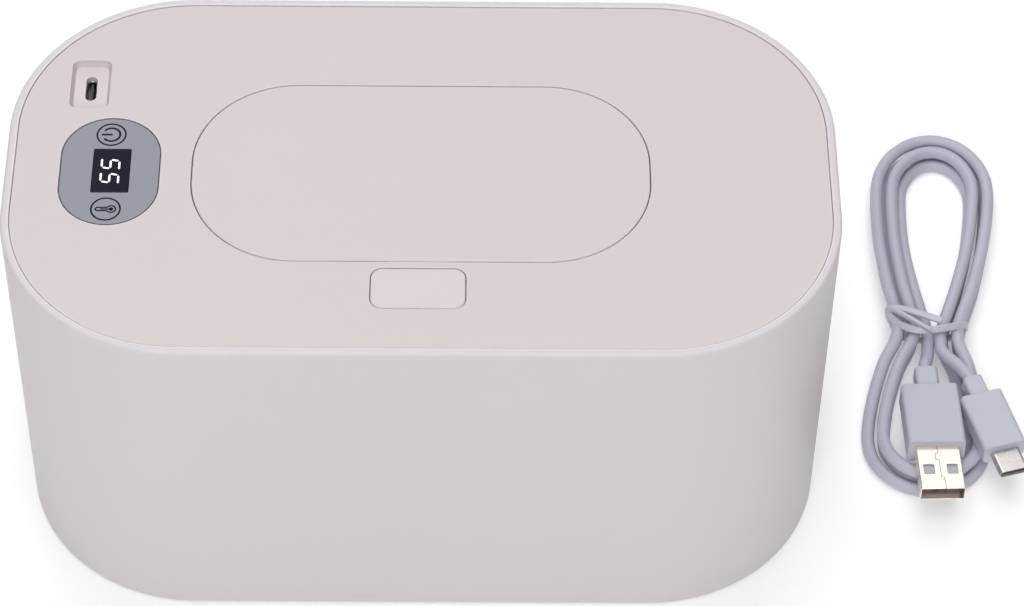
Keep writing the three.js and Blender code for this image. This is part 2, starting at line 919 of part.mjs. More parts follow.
// Button spring on its post, and latch spring between the slider and a boss
const buttonSpring = { coil: 2.1, curls: 4 };
const latchSpring = {
  coil: 1.2,
  curls: 5,
  bossNear: 6.8,
  bossThickness: 1.2,
  bossHalf: 2.5,
  bossHigh: 1.2,
};
const postTop = buttonUnder - springPost.springHeight;
const wire = flapSpring.wire;
const buttonSpringLow = postTop + seat + wire;
const buttonSpringHigh = buttonUnder - seat - wire;
add('button_spring', tube(helix(
  new THREE.Vector3(latchX, button.y, buttonSpringLow),
  axisZ,
  axisX,
  buttonSpring.coil,
  buttonSpring.curls,
  buttonSpringHigh - buttonSpringLow,
), wire, wireSides), finishes.steel());
const bossNearY = latchFrontY - latchSpring.bossNear;
const sliderMiddle = (sliderLow + sliderHigh) / 2;
add('latch_spring', tube(helix(
  new THREE.Vector3(latchX, bossNearY + seat + wire, sliderMiddle),
  axisY,
  axisX,
  latchSpring.coil,
  latchSpring.curls,
  latchSpring.bossNear - 2 * (seat + wire),
), wire, wireSides), finishes.steel());

// Lid inner frame
const rail = { inner: 8.2, outer: 9.8, frontRun: 1.5, rearRun: 13.5 };
const besideBoard = { sensor: 15.6, lead: 11.2, sensorY: -7.4, fuseY: 10.6 };
const sensorPlace = { x: board.x + besideBoard.sensor, y: panel.y + besideBoard.sensorY };
const fusePlace = { x: board.x + besideBoard.sensor, y: panel.y + besideBoard.fuseY };
const sensor = { halfX: 1.6, halfY: 1, room: 0.5 };
const fuse = { halfX: 1.2, halfY: 4, room: 0.5 };
const lead = { radius: 0.8, hole: 1.3, sides: 8, x: board.x + besideBoard.lead };
const padRing = frame.throatWall + heater.edgeGap;
const frameBody = cut(
  join(
    insetSolid(tubSize, [[frameInset, lidBottom], [frameInset, frameRimTop]]),
    insetSolid(tubSize, [
      [frame.stepInset - frame.stepWall, frameRimTop - ceilingCut],
      [frame.stepInset - frame.stepWall, frameTop],
    ]),
  ),
  insetSolid(tubSize, [[frame.stepInset, lidBottom - overrun], [frame.stepInset, frameCeiling]]),
);
const frameAdditions = join(
  prism(throatOutline(frame.throatWall), lidBottom, wellBottom - seat),
  uprightCylinder(springPost.radius, latchX, button.y, frameTop - ceilingCut, postTop),
  block(
    latchX - latchSpring.bossHalf,
    latchX + latchSpring.bossHalf,
    bossNearY - latchSpring.bossThickness,
    bossNearY,
    frameRimTop - ceilingCut,
    sliderHigh + latchSpring.bossHigh,
  ),
  ...[-1, 1].map((side) => block(
    latchX + Math.min(side * rail.inner, side * rail.outer),
    latchX + Math.max(side * rail.inner, side * rail.outer),
    latchFrontY + rail.frontRun,
    latchFrontY + rail.rearRun,
    frameTop - ceilingCut,
    sliderLow - seat,
  )),
  ...boardScrewPlaces.map(([x, y]) => uprightCylinder(
    board.postRadius,
    x,
    y,
    frameTop - ceilingCut,
    boardLow - seat,
  )),
);
const lidInnerFrame = cut(
  frameBody.add(frameAdditions),
  prism(throatOutline(0), lidBottom - overrun, wellBottom + overrun),
  ...screwPlaces.flatMap(([x, y]) => [
    uprightCylinder(lidScrew.headRadius + seat, x, y, lidBottom - overrun, lidBottom + lidScrew.sink),
    uprightCylinder(lidScrew.radius + seat, x, y, lidBottom, frameTop),
    uprightCylinder(lidScrew.bossRadius + seat, x, y, frameRimTop, frameTop + overrun),
  ]),
  ...boardScrewPlaces.map(([x, y]) => uprightCylinder(
    board.screwRadius + seat,
    x,
    y,
    frameTop,
    boardLow,
  )),
  uprightCylinder(lead.hole, lead.x, sensorPlace.y, frameCeiling - overrun, frameTop + overrun),
  uprightCylinder(lead.hole, lead.x, fusePlace.y, frameCeiling - overrun, frameTop + overrun),
);
add('lid_inner_frame', lidInnerFrame, finishes.innerPlastic());

// Heating plate, film and pad, one above the other in the frame's recess
function heaterLayer(low, high) {
  const inset = frame.stepInset + heater.edgeGap;
  return cut(
    solid(insetSolid(tubSize, [[inset, low], [inset, high]])),
    prism(throatOutline(padRing), low - overrun, high + overrun),
  );
}
add('heating_plate', heaterLayer(heaterPlateLow, heaterPlateHigh), finishes.aluminium());
add('heater_film', heaterLayer(filmLow, filmHigh), finishes.heaterAmber());
const padCuts = [
  [sensorPlace, sensor],
  [fusePlace, fuse],
].map(([place, size]) => block(
  lead.x - lead.hole,
  place.x + size.halfX + size.room,
  place.y - size.halfY - size.room,
  place.y + size.halfY + size.room,
  padLow - overrun,
  padHigh + overrun,
));
add('insulation_pad', cut(heaterLayer(padLow, padHigh), ...padCuts), finishes.foam());
add('temperature_sensor', solid(block(
  sensorPlace.x - sensor.halfX,
  sensorPlace.x + sensor.halfX,
  sensorPlace.y - sensor.halfY,
  sensorPlace.y + sensor.halfY,
  padLow,
  padHigh,
)), finishes.blackPlastic());
const fuseBody = new THREE.CylinderGeometry(heater.pad / 2, heater.pad / 2, 2 * fuse.halfY, roundSides);
fuseBody.translate(fusePlace.x, fusePlace.y, (padLow + padHigh) / 2);
add('thermal_fuse', solid(fuseBody), finishes.whitePlastic());

// Lid screws, and the two small ones of the control board
function screw(radius, headRadius, headHeight, length) {
  const profile = [
    new THREE.Vector2(0, 0),
    new THREE.Vector2(headRadius, 0),
    new THREE.Vector2(headRadius, headHeight),
    new THREE.Vector2(radius, headHeight),
    new THREE.Vector2(radius, headHeight + length),
    new THREE.Vector2(0, headHeight + length),
  ];
  const geometry = new THREE.LatheGeometry(profile, roundSides);
  geometry.rotateX(Math.PI / 2);
  return geometry;
}
screwPlaces.forEach(([x, y], i) => {
  const geometry = screw(lidScrew.radius, lidScrew.headRadius, lidScrew.headHeight, lidScrew.length);
  const low = lidBottom + lidScrew.sink - seat - lidScrew.headHeight;
  geometry.translate(x, y, low);
  add(`lid_screw_${i + 1}`, solid(geometry), finishes.steel());
});
const boardScrew = { headRadius: 2, headHeight: 1.1, reach: 3.5 };
boardScrewPlaces.forEach(([x, y], i) => {
  const shank = board.thickness + 2 * seat + boardScrew.reach;
  const geometry = screw(board.screwRadius, boardScrew.headRadius, boardScrew.headHeight, shank);
  geometry.rotateX(Math.PI);
  geometry.translate(x, y, boardTop + seat + boardScrew.headHeight);
  add(`board_screw_${i + 1}`, solid(geometry), finishes.steel());
});

// Control board, its chip, display, touch pads, panel film and window
const chipShift = { x: 8.1, y: 6.6 };
const chip = {
  halfX: 3.5,
  halfY: 3.5,
  height: 1.4,
  x: board.x + chipShift.x,
  y: panel.y + chipShift.y,
};
add('control_board', cut(
  solid(block(
    board.x - board.halfX,
    board.x + board.halfX,
    board.frontY,
    board.backY,
    boardLow,
    boardTop,
  )),
  ...boardScrewPlaces.map(([x, y]) => uprightCylinder(
    board.screwRadius + seat,
    x,
    y,
    boardLow - overrun,
    boardTop + overrun,
  )),
), finishes.boardGreen());
add('control_chip', solid(block(
  chip.x - chip.halfX,
  chip.x + chip.halfX,
  chip.y - chip.halfY,
  chip.y + chip.halfY,
  boardTop + seat,
  boardTop + seat + chip.height,
)), finishes.blackPlastic());
const moduleBody = prism(displayOutline(displayModule.grow), boardTop + seat, moduleTop);
add('display_module', solid(moduleBody), finishes.blackPlastic());
[['touch_pad_power', 1], ['touch_pad_mode', -1]].forEach(([name, side]) => {
  add(name, solid(uprightCylinder(
    touchPad.radius,
    panel.x,
    panel.y + side * touchPad.offset,
    boardTop + seat,
    coverUnder - seat,
  )), finishes.blackPlastic());
});
add('control_panel_film', cut(
  solid(prism(panelOutline(0), filmUnder, filmTop)),
  prism(displayOutline(display.gap), filmUnder - overrun, filmTop + overrun),
), finishes.panelFilm());
add('display_window', solid(prism(displayOutline(0), windowLow, filmTop)), finishes.darkWindow());

// Charging socket on its own small board
const socketSize = {
  halfX: socket.halfX,
  halfY: socket.halfY,
  radius: socket.halfX,
  x: socketPocket.x,
  y: port.y,
  steps: smallCornerSteps,
};
add('socket_shell', insetSolid(socketSize, [
  [0, socketLow],
  [0, socketTop],
  [socket.wall, socketTop],
  [socket.wall, socketLow + socket.backing],
]), finishes.steel());
add('socket_tongue', solid(block(
  socketPocket.x - socket.tongueHalfX,
  socketPocket.x + socket.tongueHalfX,
  port.y - socket.tongueHalfY,
  port.y + socket.tongueHalfY,
  socketLow + socket.backing + seat,
  socketTop,
)), finishes.blackPlastic());
add('socket_board', solid(block(
  socketPocket.x - socketBoard.halfX,
  socketPocket.x + socketBoard.halfX,
  port.y - socketBoard.halfY,
  port.y + socketBoard.halfY,
  socketBoardLow,
  socketBoardTop,
)), finishes.boardGreen());

// Leads inside the lid, each a smooth path through a few points
function leadAlong(points, steps) {
  const curve = new THREE.CatmullRomCurve3(points.map(([x, y, z]) => new THREE.Vector3(x, y, z)));
  return tube(curve.getSpacedPoints(steps), lead.radius, lead.sides);
}
const powerLeadShift = { board: 11.6, port: 5.8, backEdge: 3.5 };
const powerLead = {
  x: board.x - powerLeadShift.board,
  nearY: port.y - powerLeadShift.port,
  farY: board.backY - powerLeadShift.backEdge,
  bend: 1.2,
};
add('power_lead', leadAlong([
  [powerLead.x, powerLead.nearY, socketBoardTop + seat],
  [powerLead.x, powerLead.nearY, socketBoardTop + seat + powerLead.bend],
  [powerLead.x, (powerLead.nearY + powerLead.farY) / 2, boardLow - seat - 2 * powerLead.bend],
  [powerLead.x, powerLead.farY, boardLow - seat - powerLead.bend],
  [powerLead.x, powerLead.farY, boardLow - seat],
], 12), finishes.leadRed());
function heaterLead(place, reach) {
  return leadAlong([
    [lead.x, place.y, boardLow - seat],
    [lead.x, place.y, frameTop],
    [lead.x, place.y, frameCeiling],
    [lead.x, place.y, (padLow + padHigh) / 2 + lead.radius],
    [place.x - reach - seat - lead.radius, place.y, (padLow + padHigh) / 2],
    [place.x - reach - seat, place.y, (padLow + padHigh) / 2],
  ], 14);
}
add('heater_lead', heaterLead(fusePlace, heater.pad / 2), finishes.leadRed());
add('sensor_lead', heaterLead(sensorPlace, sensor.halfX), finishes.whitePlastic());

// Charging cable: 3.5 loops in two layers, drawn in at the waist where the tie holds them.
// All its places are measured from the tub's right side
const cable = { diameter: 3.5, sides: 6, leadSides: 8 };
const cableRadius = cable.diameter / 2;
const hankFromTub = 35.4;
const hank = {
  x: halfWidth + hankFromTub,
  y: 27.6,
  leanAngle: 5.2 * (Math.PI / 180),
  pitch: 4.3,
  layer: 4.05,
  topLength: 67.8,
  bottomLength: 45.1,
  waistHalf: 2.55,
  waistPitch: 4.5,
  topHalf: 10.5,
  bottomHalf: 9.9,
  lift: 1.9,
  endRise: 2,
};
const widestShare = 0.78;
const loopSteps = 24;
const runSteps = 3;
const halfLoop = loopSteps / 2;
const passCount = 84;
const turnStep = 37.5;
const climbStart = 36;
const endSteps = 2;
const windingHand = -1; // the first pass goes up the right side

// Offset outwards, in pitches, at a step along the winding
function spiral(step) {
  return (turnStep - Math.abs(step - turnStep)) / loopSteps;
}

function easing(share) {
  return (1 - Math.cos(Math.PI * share)) / 2;
}

// Point of the hank's middle line at a step, before it is leaned and placed
function hankPoint(step) {
  const turned = step % loopSteps;
  const top = turned <= halfLoop;
  const local = top ? turned : turned - halfLoop;
  const length = top ? hank.topLength : hank.bottomLength;
  const half = top ? hank.topHalf : hank.bottomHalf;
  const direction = top ? 1 : -1;
  const out = spiral(step);
  const widest = half + out * hank.pitch;
  const narrow = hank.waistHalf + out * hank.waistPitch;
  const edge = Math.min(local, halfLoop - local);
  const first = local < halfLoop / 2 ? -1 : 1;
  const climb = Math.min(Math.max((step - climbStart) / runSteps, 0), 1);
  const leaving = Math.max((step - passCount) / endSteps + 1, 0);
  let across;
  let along;
  let rise = 0;
  if (edge < runSteps) {
    const share = edge / runSteps;
    across = first * (narrow + (widest - narrow) * Math.sin((Math.PI / 2) * share));
    along = length * widestShare * share;
    rise = hank.lift * (1 - easing(share));
  } else {
    const angle = Math.PI * (1 - (local - runSteps) / (halfLoop - 2 * runSteps));
    across = widest * Math.cos(angle);
    along = length * widestShare + (length * (1 - widestShare) + out * hank.pitch) * Math.sin(angle);
  }
  return new THREE.Vector3(
    windingHand * direction * across,
    direction * along,
    cableRadius + hank.layer * (1 - easing(climb)) + rise + hank.endRise * easing(leaving),
  );
}

function placeHank(point) {
  return point.clone()
    .applyAxisAngle(axisZ, -hank.leanAngle)
    .add(new THREE.Vector3(hank.x, hank.y, 0));
}

const hankMiddle = [];
for (let step = 0; step <= passCount; step += 1) {
  hankMiddle.push(hankPoint(step));
}
const straightEnd = new THREE.Vector3(0, -cable.diameter, 0);
hankMiddle.unshift(hankMiddle[0].clone().add(straightEnd));
hankMiddle.push(hankMiddle[hankMiddle.length - 1].clone().add(straightEnd));
const hankPath = hankMiddle.map(placeHank);
add('cable_hank', tube(hankPath, cableRadius, cable.sides), finishes.cableJacket());

// Least gap of a tube to itself, along points half a millimetre apart
function leastGap(path, diameter, apart) {
  const fine = [];
  for (let i = 1; i < path.length; i += 1) {
    const pieces = Math.max(1, Math.round(path[i].distanceTo(path[i - 1]) / apart));
    for (let j = 0; j < pieces; j += 1) {
      fine.push(path[i - 1].clone().lerp(path[i], j / pieces));
    }
  }
  const skip = Math.ceil((3 * diameter) / apart);
  let least = Infinity;
  for (let i = 0; i < fine.length; i += 1) {
    for (let j = i + skip; j < fine.length; j += 1) {
      least = Math.min(least, fine[i].distanceTo(fine[j]));
    }
  }
  return least - diameter;
}
const gapStep = 0.5;
const hankGap = leastGap(hankPath, cable.diameter, gapStep);
console.log(`cable hank, least gap to itself: ${hankGap.toFixed(2)} mm`);

// Tie round the waist
const tie = { thickness: 1.2, width: 2.6, gap: 0.35, left: 11.1, right: 9.4, corner: 3.4 };
const hankHigh = hank.lift + hank.layer + cable.diameter;
const tieHalfX = (tie.left + tie.right) / 2 + tie.gap + tie.thickness;
const tieLow = hank.lift - tie.gap - tie.thickness;
const tieHigh = hankHigh + tie.gap + tie.thickness;
const tieGeometry = insetSolid(
  {
    halfX: tieHalfX,
    halfY: (tieHigh - tieLow) / 2,
    radius: tie.corner,
    x: (tie.right - tie.left) / 2,
    y: (tieHigh + tieLow) / 2,
    steps: smallCornerSteps,
  },
  [
    [0, -tie.width / 2],
    [0, tie.width / 2],
    [tie.thickness, tie.width / 2],
    [tie.thickness, -tie.width / 2],
  ],
  true,
);
tieGeometry.rotateX(Math.PI / 2);
tieGeometry.rotateZ(-hank.leanAngle);
tieGeometry.translate(hank.x, hank.y, 0);
add('cable_tie', facingOut(tieGeometry), finishes.cableJacket());

// Plugs: where the collar starts, the way it points right of the front, and its rise towards the nose.
// A collar, body, metal or insulator is half its width, half its height and its length
const plugA = {
  rear: [32.3, 12.2, 8.5],
  heading: 1.5 * (Math.PI / 180),
  rise: 4.2 * (Math.PI / 180),
  collar: [3.15, 2.9, 7.4],
  collarCorner: 2.32,
  body: [7.75, 4, 21.2],
  metal: [6, 2.25, 15],
  corner: 1.1,
  metalCorner: 0.5,
  metalWall: 0.3,
  insulator: [5.3, 0.95, 11.6],
  insulatorLift: 0.7,
};
const plugC = {
  rear: [44.3, 7.1, 11.3],
  heading: 16 * (Math.PI / 180),
  rise: 0,
  collar: [2.75, 2.6, 6.4],
  collarCorner: 2.08,
  body: [5.95, 3.3, 18.7],
  metal: [4.13, 1.2, 6.9],
  corner: 1.4,
  metalCorner: 1.2,
  metalWall: 0.25,
  insulator: [3.5, 0.4, 5.4],
  insulatorLift: 0,
};

function besideTub([x, y, z]) {
  return new THREE.Vector3(halfWidth + x, y, z);
}

function plugFrame(plug) {
  const nose = new THREE.Vector3(
    Math.sin(plug.heading) * Math.cos(plug.rise),
    -Math.cos(plug.heading) * Math.cos(plug.rise),
    Math.sin(plug.rise),
  );
  const right = new THREE.Vector3(Math.cos(plug.heading), Math.sin(plug.heading), 0);
  const up = nose.clone().cross(right);
  return new THREE.Matrix4().makeBasis(right, up, nose).setPosition(besideTub(plug.rear));
}

function plugRing(halfX, halfY, radius, along) {
  return roundedOutline(halfX, halfY, radius, 0, 0, smallCornerSteps)
    .map((point) => new THREE.Vector3(point.x, point.y, along));
}

function addPlug(name, plug) {
  const [collarX, collarY, collarLength] = plug.collar;
  const [bodyX, bodyY, bodyLength] = plug.body;
  const [metalX, metalY, metalLength] = plug.metal;
  const [insulatorX, insulatorY, insulatorLength] = plug.insulator;
  const chamfer = plug.corner / 2;
  const bodyStart = collarLength;
  const bodyEnd = bodyStart + bodyLength;
  const metalStart = bodyEnd + seat;
  const metalEnd = metalStart + metalLength;
  const overmould = ringSolid([
    plugRing(collarX, collarY, plug.collarCorner, 0),
    plugRing(collarX, collarY, plug.collarCorner, bodyStart),
    plugRing(bodyX - chamfer, bodyY - chamfer, plug.corner, bodyStart),
    plugRing(bodyX, bodyY, plug.corner, bodyStart + chamfer),
    plugRing(bodyX, bodyY, plug.corner, bodyEnd - chamfer),
    plugRing(bodyX - chamfer, bodyY - chamfer, plug.corner, bodyEnd),
  ]);
  const innerX = metalX - plug.metalWall;
  const innerY = metalY - plug.metalWall;
  const innerCorner = plug.metalCorner - plug.metalWall / 2;
  const shell = ringSolid([
    plugRing(metalX, metalY, plug.metalCorner, metalStart),
    plugRing(metalX, metalY, plug.metalCorner, metalEnd),
    plugRing(innerX, innerY, innerCorner, metalEnd),
    plugRing(innerX, innerY, innerCorner, metalStart + plug.metalWall),
  ]);
  const insulator = new THREE.BoxGeometry(2 * insulatorX, 2 * insulatorY, insulatorLength);
  insulator.translate(0, plug.insulatorLift, metalStart + plug.metalWall + seat + insulatorLength / 2);
  const frameOfPlug = plugFrame(plug);
  [
    [`${name}_overmould`, overmould, finishes.cableJacket()],
    [`${name}_shell`, shell, finishes.steel()],
    [`${name}_insulator`, insulator, finishes.whitePlastic()],
  ].forEach(([pieceName, geometry, material]) => {
    geometry.applyMatrix4(frameOfPlug);
    add(pieceName, solid(geometry), material);
  });
}
addPlug('usb_a', plugA);
addPlug('usb_c', plugC);

// Free ends of the cable, from the tie to each plug, through points chosen by hand
const freeEndPoints = {
  cable_end_usb_a: [
    [33.95, 21.4, 5.95],
    [33.3, 18.2, 6.9],
    [32.45, 15.1, 7.95],
  ],
  cable_end_usb_c: [
    [37.5, 21.2, 7.8],
    [38.85, 17.7, 8.75],
    [41.05, 14.0, 10.0],
    [42.95, 10.4, 10.85],
  ],
};
function addFreeEnd(name, hankEnd, plug) {
  const inward = straightEnd.clone().normalize().applyAxisAngle(axisZ, -hank.leanAngle);
  const start = hankEnd.clone().add(inward.clone().multiplyScalar(seat));
  const nose = new THREE.Vector3().setFromMatrixColumn(plugFrame(plug), 2);
  const end = besideTub(plug.rear).sub(nose.clone().multiplyScalar(seat));
  const curve = new THREE.CatmullRomCurve3([
    start,
    ...freeEndPoints[name].map(besideTub),
    end,
  ]);
  const steps = Math.ceil(curve.getLength() / cable.diameter);
  add(name, tube(curve.getSpacedPoints(steps), cableRadius, cable.leadSides), finishes.cableJacket());
  return curve.getLength();
}
let hankLength = 0;
for (let i = 1; i < hankPath.length; i += 1) {
  hankLength += hankPath[i].distanceTo(hankPath[i - 1]);
}
const freeLengths = [
  addFreeEnd('cable_end_usb_a', hankPath[hankPath.length - 1], plugA),
  addFreeEnd('cable_end_usb_c', hankPath[0], plugC),
];
const cableLength = hankLength + freeLengths[0] + freeLengths[1];
console.log(`cable length between its plugs: ${cableLength.toFixed(0)} mm`);

export default wipeWarmer;
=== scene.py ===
import json
import math

import bmesh
import bpy
from mathutils import Matrix, Vector


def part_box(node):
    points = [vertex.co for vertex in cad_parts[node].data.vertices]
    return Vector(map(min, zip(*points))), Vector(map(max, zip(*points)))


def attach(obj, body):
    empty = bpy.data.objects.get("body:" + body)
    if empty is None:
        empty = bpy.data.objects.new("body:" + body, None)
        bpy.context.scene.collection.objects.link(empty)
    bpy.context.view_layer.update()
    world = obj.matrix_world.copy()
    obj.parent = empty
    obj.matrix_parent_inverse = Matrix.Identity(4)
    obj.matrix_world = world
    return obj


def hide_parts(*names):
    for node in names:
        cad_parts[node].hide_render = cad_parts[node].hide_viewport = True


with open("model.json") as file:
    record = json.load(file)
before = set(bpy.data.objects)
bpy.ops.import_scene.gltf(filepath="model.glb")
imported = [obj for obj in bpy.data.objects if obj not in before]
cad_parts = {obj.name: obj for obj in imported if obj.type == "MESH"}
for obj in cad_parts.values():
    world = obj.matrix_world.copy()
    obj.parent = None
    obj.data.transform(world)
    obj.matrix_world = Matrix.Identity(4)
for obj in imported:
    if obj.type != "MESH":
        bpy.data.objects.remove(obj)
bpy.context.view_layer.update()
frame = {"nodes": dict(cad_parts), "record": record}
MM = 0.001

# Camera: a long lens that looks down at the lid from the front, a little to the right of its middle
# and turned a degree, so that the object fills the left four fifths of the picture.
FOCAL_PIXELS = 3645.34
IMAGE_WIDTH = 1024
SENSOR_WIDTH = 36.0
CAMERA_PLACE = Vector((12.0, -612.1, 789.7))
CAMERA_YAW = math.radians(1.051)
CAMERA_PITCH = math.radians(50.301)
CAMERA_ROLL = math.radians(1.135)
CAMERA_REACH = (0.05, 50.0)


def new_object(name, data):
    """Object of some data, linked to the scene"""
    made = bpy.data.objects.new(name, data)
    bpy.context.scene.collection.objects.link(made)
    return made


forward = Vector((
    math.sin(CAMERA_YAW) * math.cos(CAMERA_PITCH),
    math.cos(CAMERA_YAW) * math.cos(CAMERA_PITCH),
    -math.sin(CAMERA_PITCH),
))
level_right = Vector((math.cos(CAMERA_YAW), -math.sin(CAMERA_YAW), 0.0))
level_up = level_right.cross(forward)
camera_right = math.cos(CAMERA_ROLL) * level_right + math.sin(CAMERA_ROLL) * level_up
camera_up = math.cos(CAMERA_ROLL) * level_up - math.sin(CAMERA_ROLL) * level_right
camera_turn = Matrix((camera_right, camera_up, -forward)).transposed().to_4x4()
camera_data = bpy.data.cameras.new("camera")
camera_data.sensor_width = SENSOR_WIDTH
camera_data.lens = FOCAL_PIXELS * SENSOR_WIDTH / IMAGE_WIDTH
camera_data.clip_start, camera_data.clip_end = CAMERA_REACH
camera = new_object("camera", camera_data)
camera.matrix_world = Matrix.Translation(CAMERA_PLACE * MM) @ camera_turn
bpy.context.scene.camera = camera


# Charging cable: one metre of soft jacketed cable, wound in three and a half loops in two layers,
# drawn in at the waist by its tie. Both free ends come out of the waist towards the front.
CABLE_DIAMETER = 3.5
HANK_PLACE = Vector((140.4, 27.6, 0.0))
HANK_LEAN = math.radians(5.2)
HANK_PITCH = 4.3
HANK_LAYER = 4.05
HANK_TOP = 67.8
HANK_BOTTOM = 45.1
WAIST_HALF = 2.55
WAIST_PITCH = 4.5
TOP_HALF = 10.5
BOTTOM_HALF = 9.9
WAIST_LIFT = 1.9
END_RISE = 2.0
WIDEST_SHARE = 0.78
LOOP_STEPS = 24
RUN_STEPS = 3
PASS_COUNT = 84
TURN_STEP = 37.5
CLIMB_START = 36
END_STEPS = 2
FREE_END_A = [(138.95, 21.4, 5.95), (138.3, 18.2, 6.9), (137.45, 15.1, 7.95)]
FREE_END_C = [(142.5, 21.2, 7.8), (143.85, 17.7, 8.75), (146.05, 14.0, 10.0), (147.95, 10.4, 10.85)]
COLLAR_A = Vector((137.3, 12.2, 8.5))
COLLAR_C = Vector((149.3, 7.1, 11.3))
HEADING_A = math.radians(1.5)
HEADING_C = math.radians(16.0)
RISE_A = math.radians(4.2)
RISE_C = 0.0
INTO_COLLAR = 1.2
PATH_PIECES = 6
CABLE_SIDES = 20


def hank_point(step):
    """Point of the hank's middle line at a step of its winding, before it is leaned and placed"""
    half_loop = LOOP_STEPS / 2
    turned = step % LOOP_STEPS
    top = turned <= half_loop
    local = turned if top else turned - half_loop
    length, half, direction = (HANK_TOP, TOP_HALF, 1) if top else (HANK_BOTTOM, BOTTOM_HALF, -1)
    out = (TURN_STEP - abs(step - TURN_STEP)) / LOOP_STEPS
    widest = half + out * HANK_PITCH
    narrow = WAIST_HALF + out * WAIST_PITCH
    edge = min(local, half_loop - local)
    first = -1 if local < half_loop / 2 else 1
    climb = min(max((step - CLIMB_START) / RUN_STEPS, 0.0), 1.0)
    leaving = max((step - PASS_COUNT) / END_STEPS + 1, 0.0)
    rise = 0.0
    if edge < RUN_STEPS:
        share = edge / RUN_STEPS
        across = first * (narrow + (widest - narrow) * math.sin(share * math.pi / 2))
        along = length * WIDEST_SHARE * share
        rise = WAIST_LIFT * (1 + math.cos(math.pi * share)) / 2
    else:
        angle = math.pi * (1 - (local - RUN_STEPS) / (half_loop - 2 * RUN_STEPS))
        across = widest * math.cos(angle)
        along = length * WIDEST_SHARE + (length * (1 - WIDEST_SHARE) + out * HANK_PITCH) * math.sin(angle)
    level = CABLE_DIAMETER / 2 + HANK_LAYER * (1 + math.cos(math.pi * climb)) / 2
    end_rise = END_RISE * (1 - math.cos(math.pi * leaving)) / 2
    return Vector((-direction * across, direction * along, level + rise + end_rise))


def plug_nose(heading, rise):
    """Direction that a plug points in"""
    return Vector((
        math.sin(heading) * math.cos(rise),
        -math.cos(heading) * math.cos(rise),
        math.sin(rise),
    ))


def smooth_path(points, pieces):
    """Points along the curve that runs through all the given points"""
    fine = []
    for i in range(len(points) - 1):
        before = points[max(i - 1, 0)]
        after = points[min(i + 2, len(points) - 1)]
        start, end = points[i], points[i + 1]
        leave = (end - before) / 2
        arrive = (after - start) / 2
        for k in range(pieces):
            t = k / pieces
            fine.append(
                (2 * t**3 - 3 * t**2 + 1) * start
                + (t**3 - 2 * t**2 + t) * leave
                + (3 * t**2 - 2 * t**3) * end
                + (t**3 - t**2) * arrive
            )
    fine.append(points[-1].copy())
    return fine


def add_node(tree, kind, settings=None, values=None, links=None):
    """Node with its settings, its plain input values and the links that reach it"""
    node = tree.nodes.new(kind)
    for name, value in (settings or {}).items():
        setattr(node, name, value)
    for name, value in (values or {}).items():
        node.inputs[name].default_value = value
    for name, socket in (links or {}).items():
        tree.links.new(socket, node.inputs[name])
    return node


def add_math(tree, operation, values=None, links=None, clamp=False):
    """Result of a math node"""
    node = add_node(tree, "ShaderNodeMath", {"operation": operation, "use_clamp": clamp}, values, links)
    return node.outputs["Value"]


def add_sockets(tree, inputs, outputs):
    """Named inputs and outputs of a node group, each input with its default value"""
    for name, kind, value in inputs:
        socket = tree.interface.new_socket(name, in_out="INPUT", socket_type=kind)
        if value is not None:
            socket.default_value = value
    for name, kind in outputs:
        tree.interface.new_socket(name, in_out="OUTPUT", socket_type=kind)


GRAIN_IN_GLOSS = 0.4
GLOSS_SHARE = 0.75


def moulded_grain():
    """Shader group: the fine grain of a moulded surface, and the slow unevenness of its tone and gloss"""
    tree = bpy.data.node_groups.new("moulded_grain", "ShaderNodeTree")
    add_sockets(
        tree,
        [("Grain Scale", "NodeSocketFloat", 2500.0), ("Mottle Scale", "NodeSocketFloat", 25.0),
         ("Stretch", "NodeSocketVector", (1.0, 1.0, 1.0))],
        [("Tone", "NodeSocketFloat"), ("Gloss", "NodeSocketFloat"), ("Height", "NodeSocketFloat")],
    )
    into = add_node(tree, "NodeGroupInput")
    place = add_node(tree, "ShaderNodeTexCoord")
    stretched = add_node(
        tree, "ShaderNodeVectorMath", {"operation": "MULTIPLY"},
        links={0: place.outputs["Object"], 1: into.outputs["Stretch"]},
    )
    grain = add_node(
        tree, "ShaderNodeTexNoise", values={"Detail": 3.0, "Roughness": 0.6},
        links={"Vector": stretched.outputs["Vector"], "Scale": into.outputs["Grain Scale"]},
    )
    mottle = add_node(
        tree, "ShaderNodeTexNoise", values={"Detail": 4.0, "Roughness": 0.55},
        links={"Vector": place.outputs["Object"], "Scale": into.outputs["Mottle Scale"]},
    )
    gloss = add_math(
        tree, "MULTIPLY_ADD", {1: GRAIN_IN_GLOSS}, {0: grain.outputs["Fac"], 2: mottle.outputs["Fac"]},
        clamp=True,
    )
    softened = add_math(tree, "MULTIPLY", {1: GLOSS_SHARE}, {0: gloss})
    add_node(tree, "NodeGroupOutput", links={
        "Tone": mottle.outputs["Fac"],
        "Gloss": softened,
        "Height": grain.outputs["Fac"],
    })
    return tree


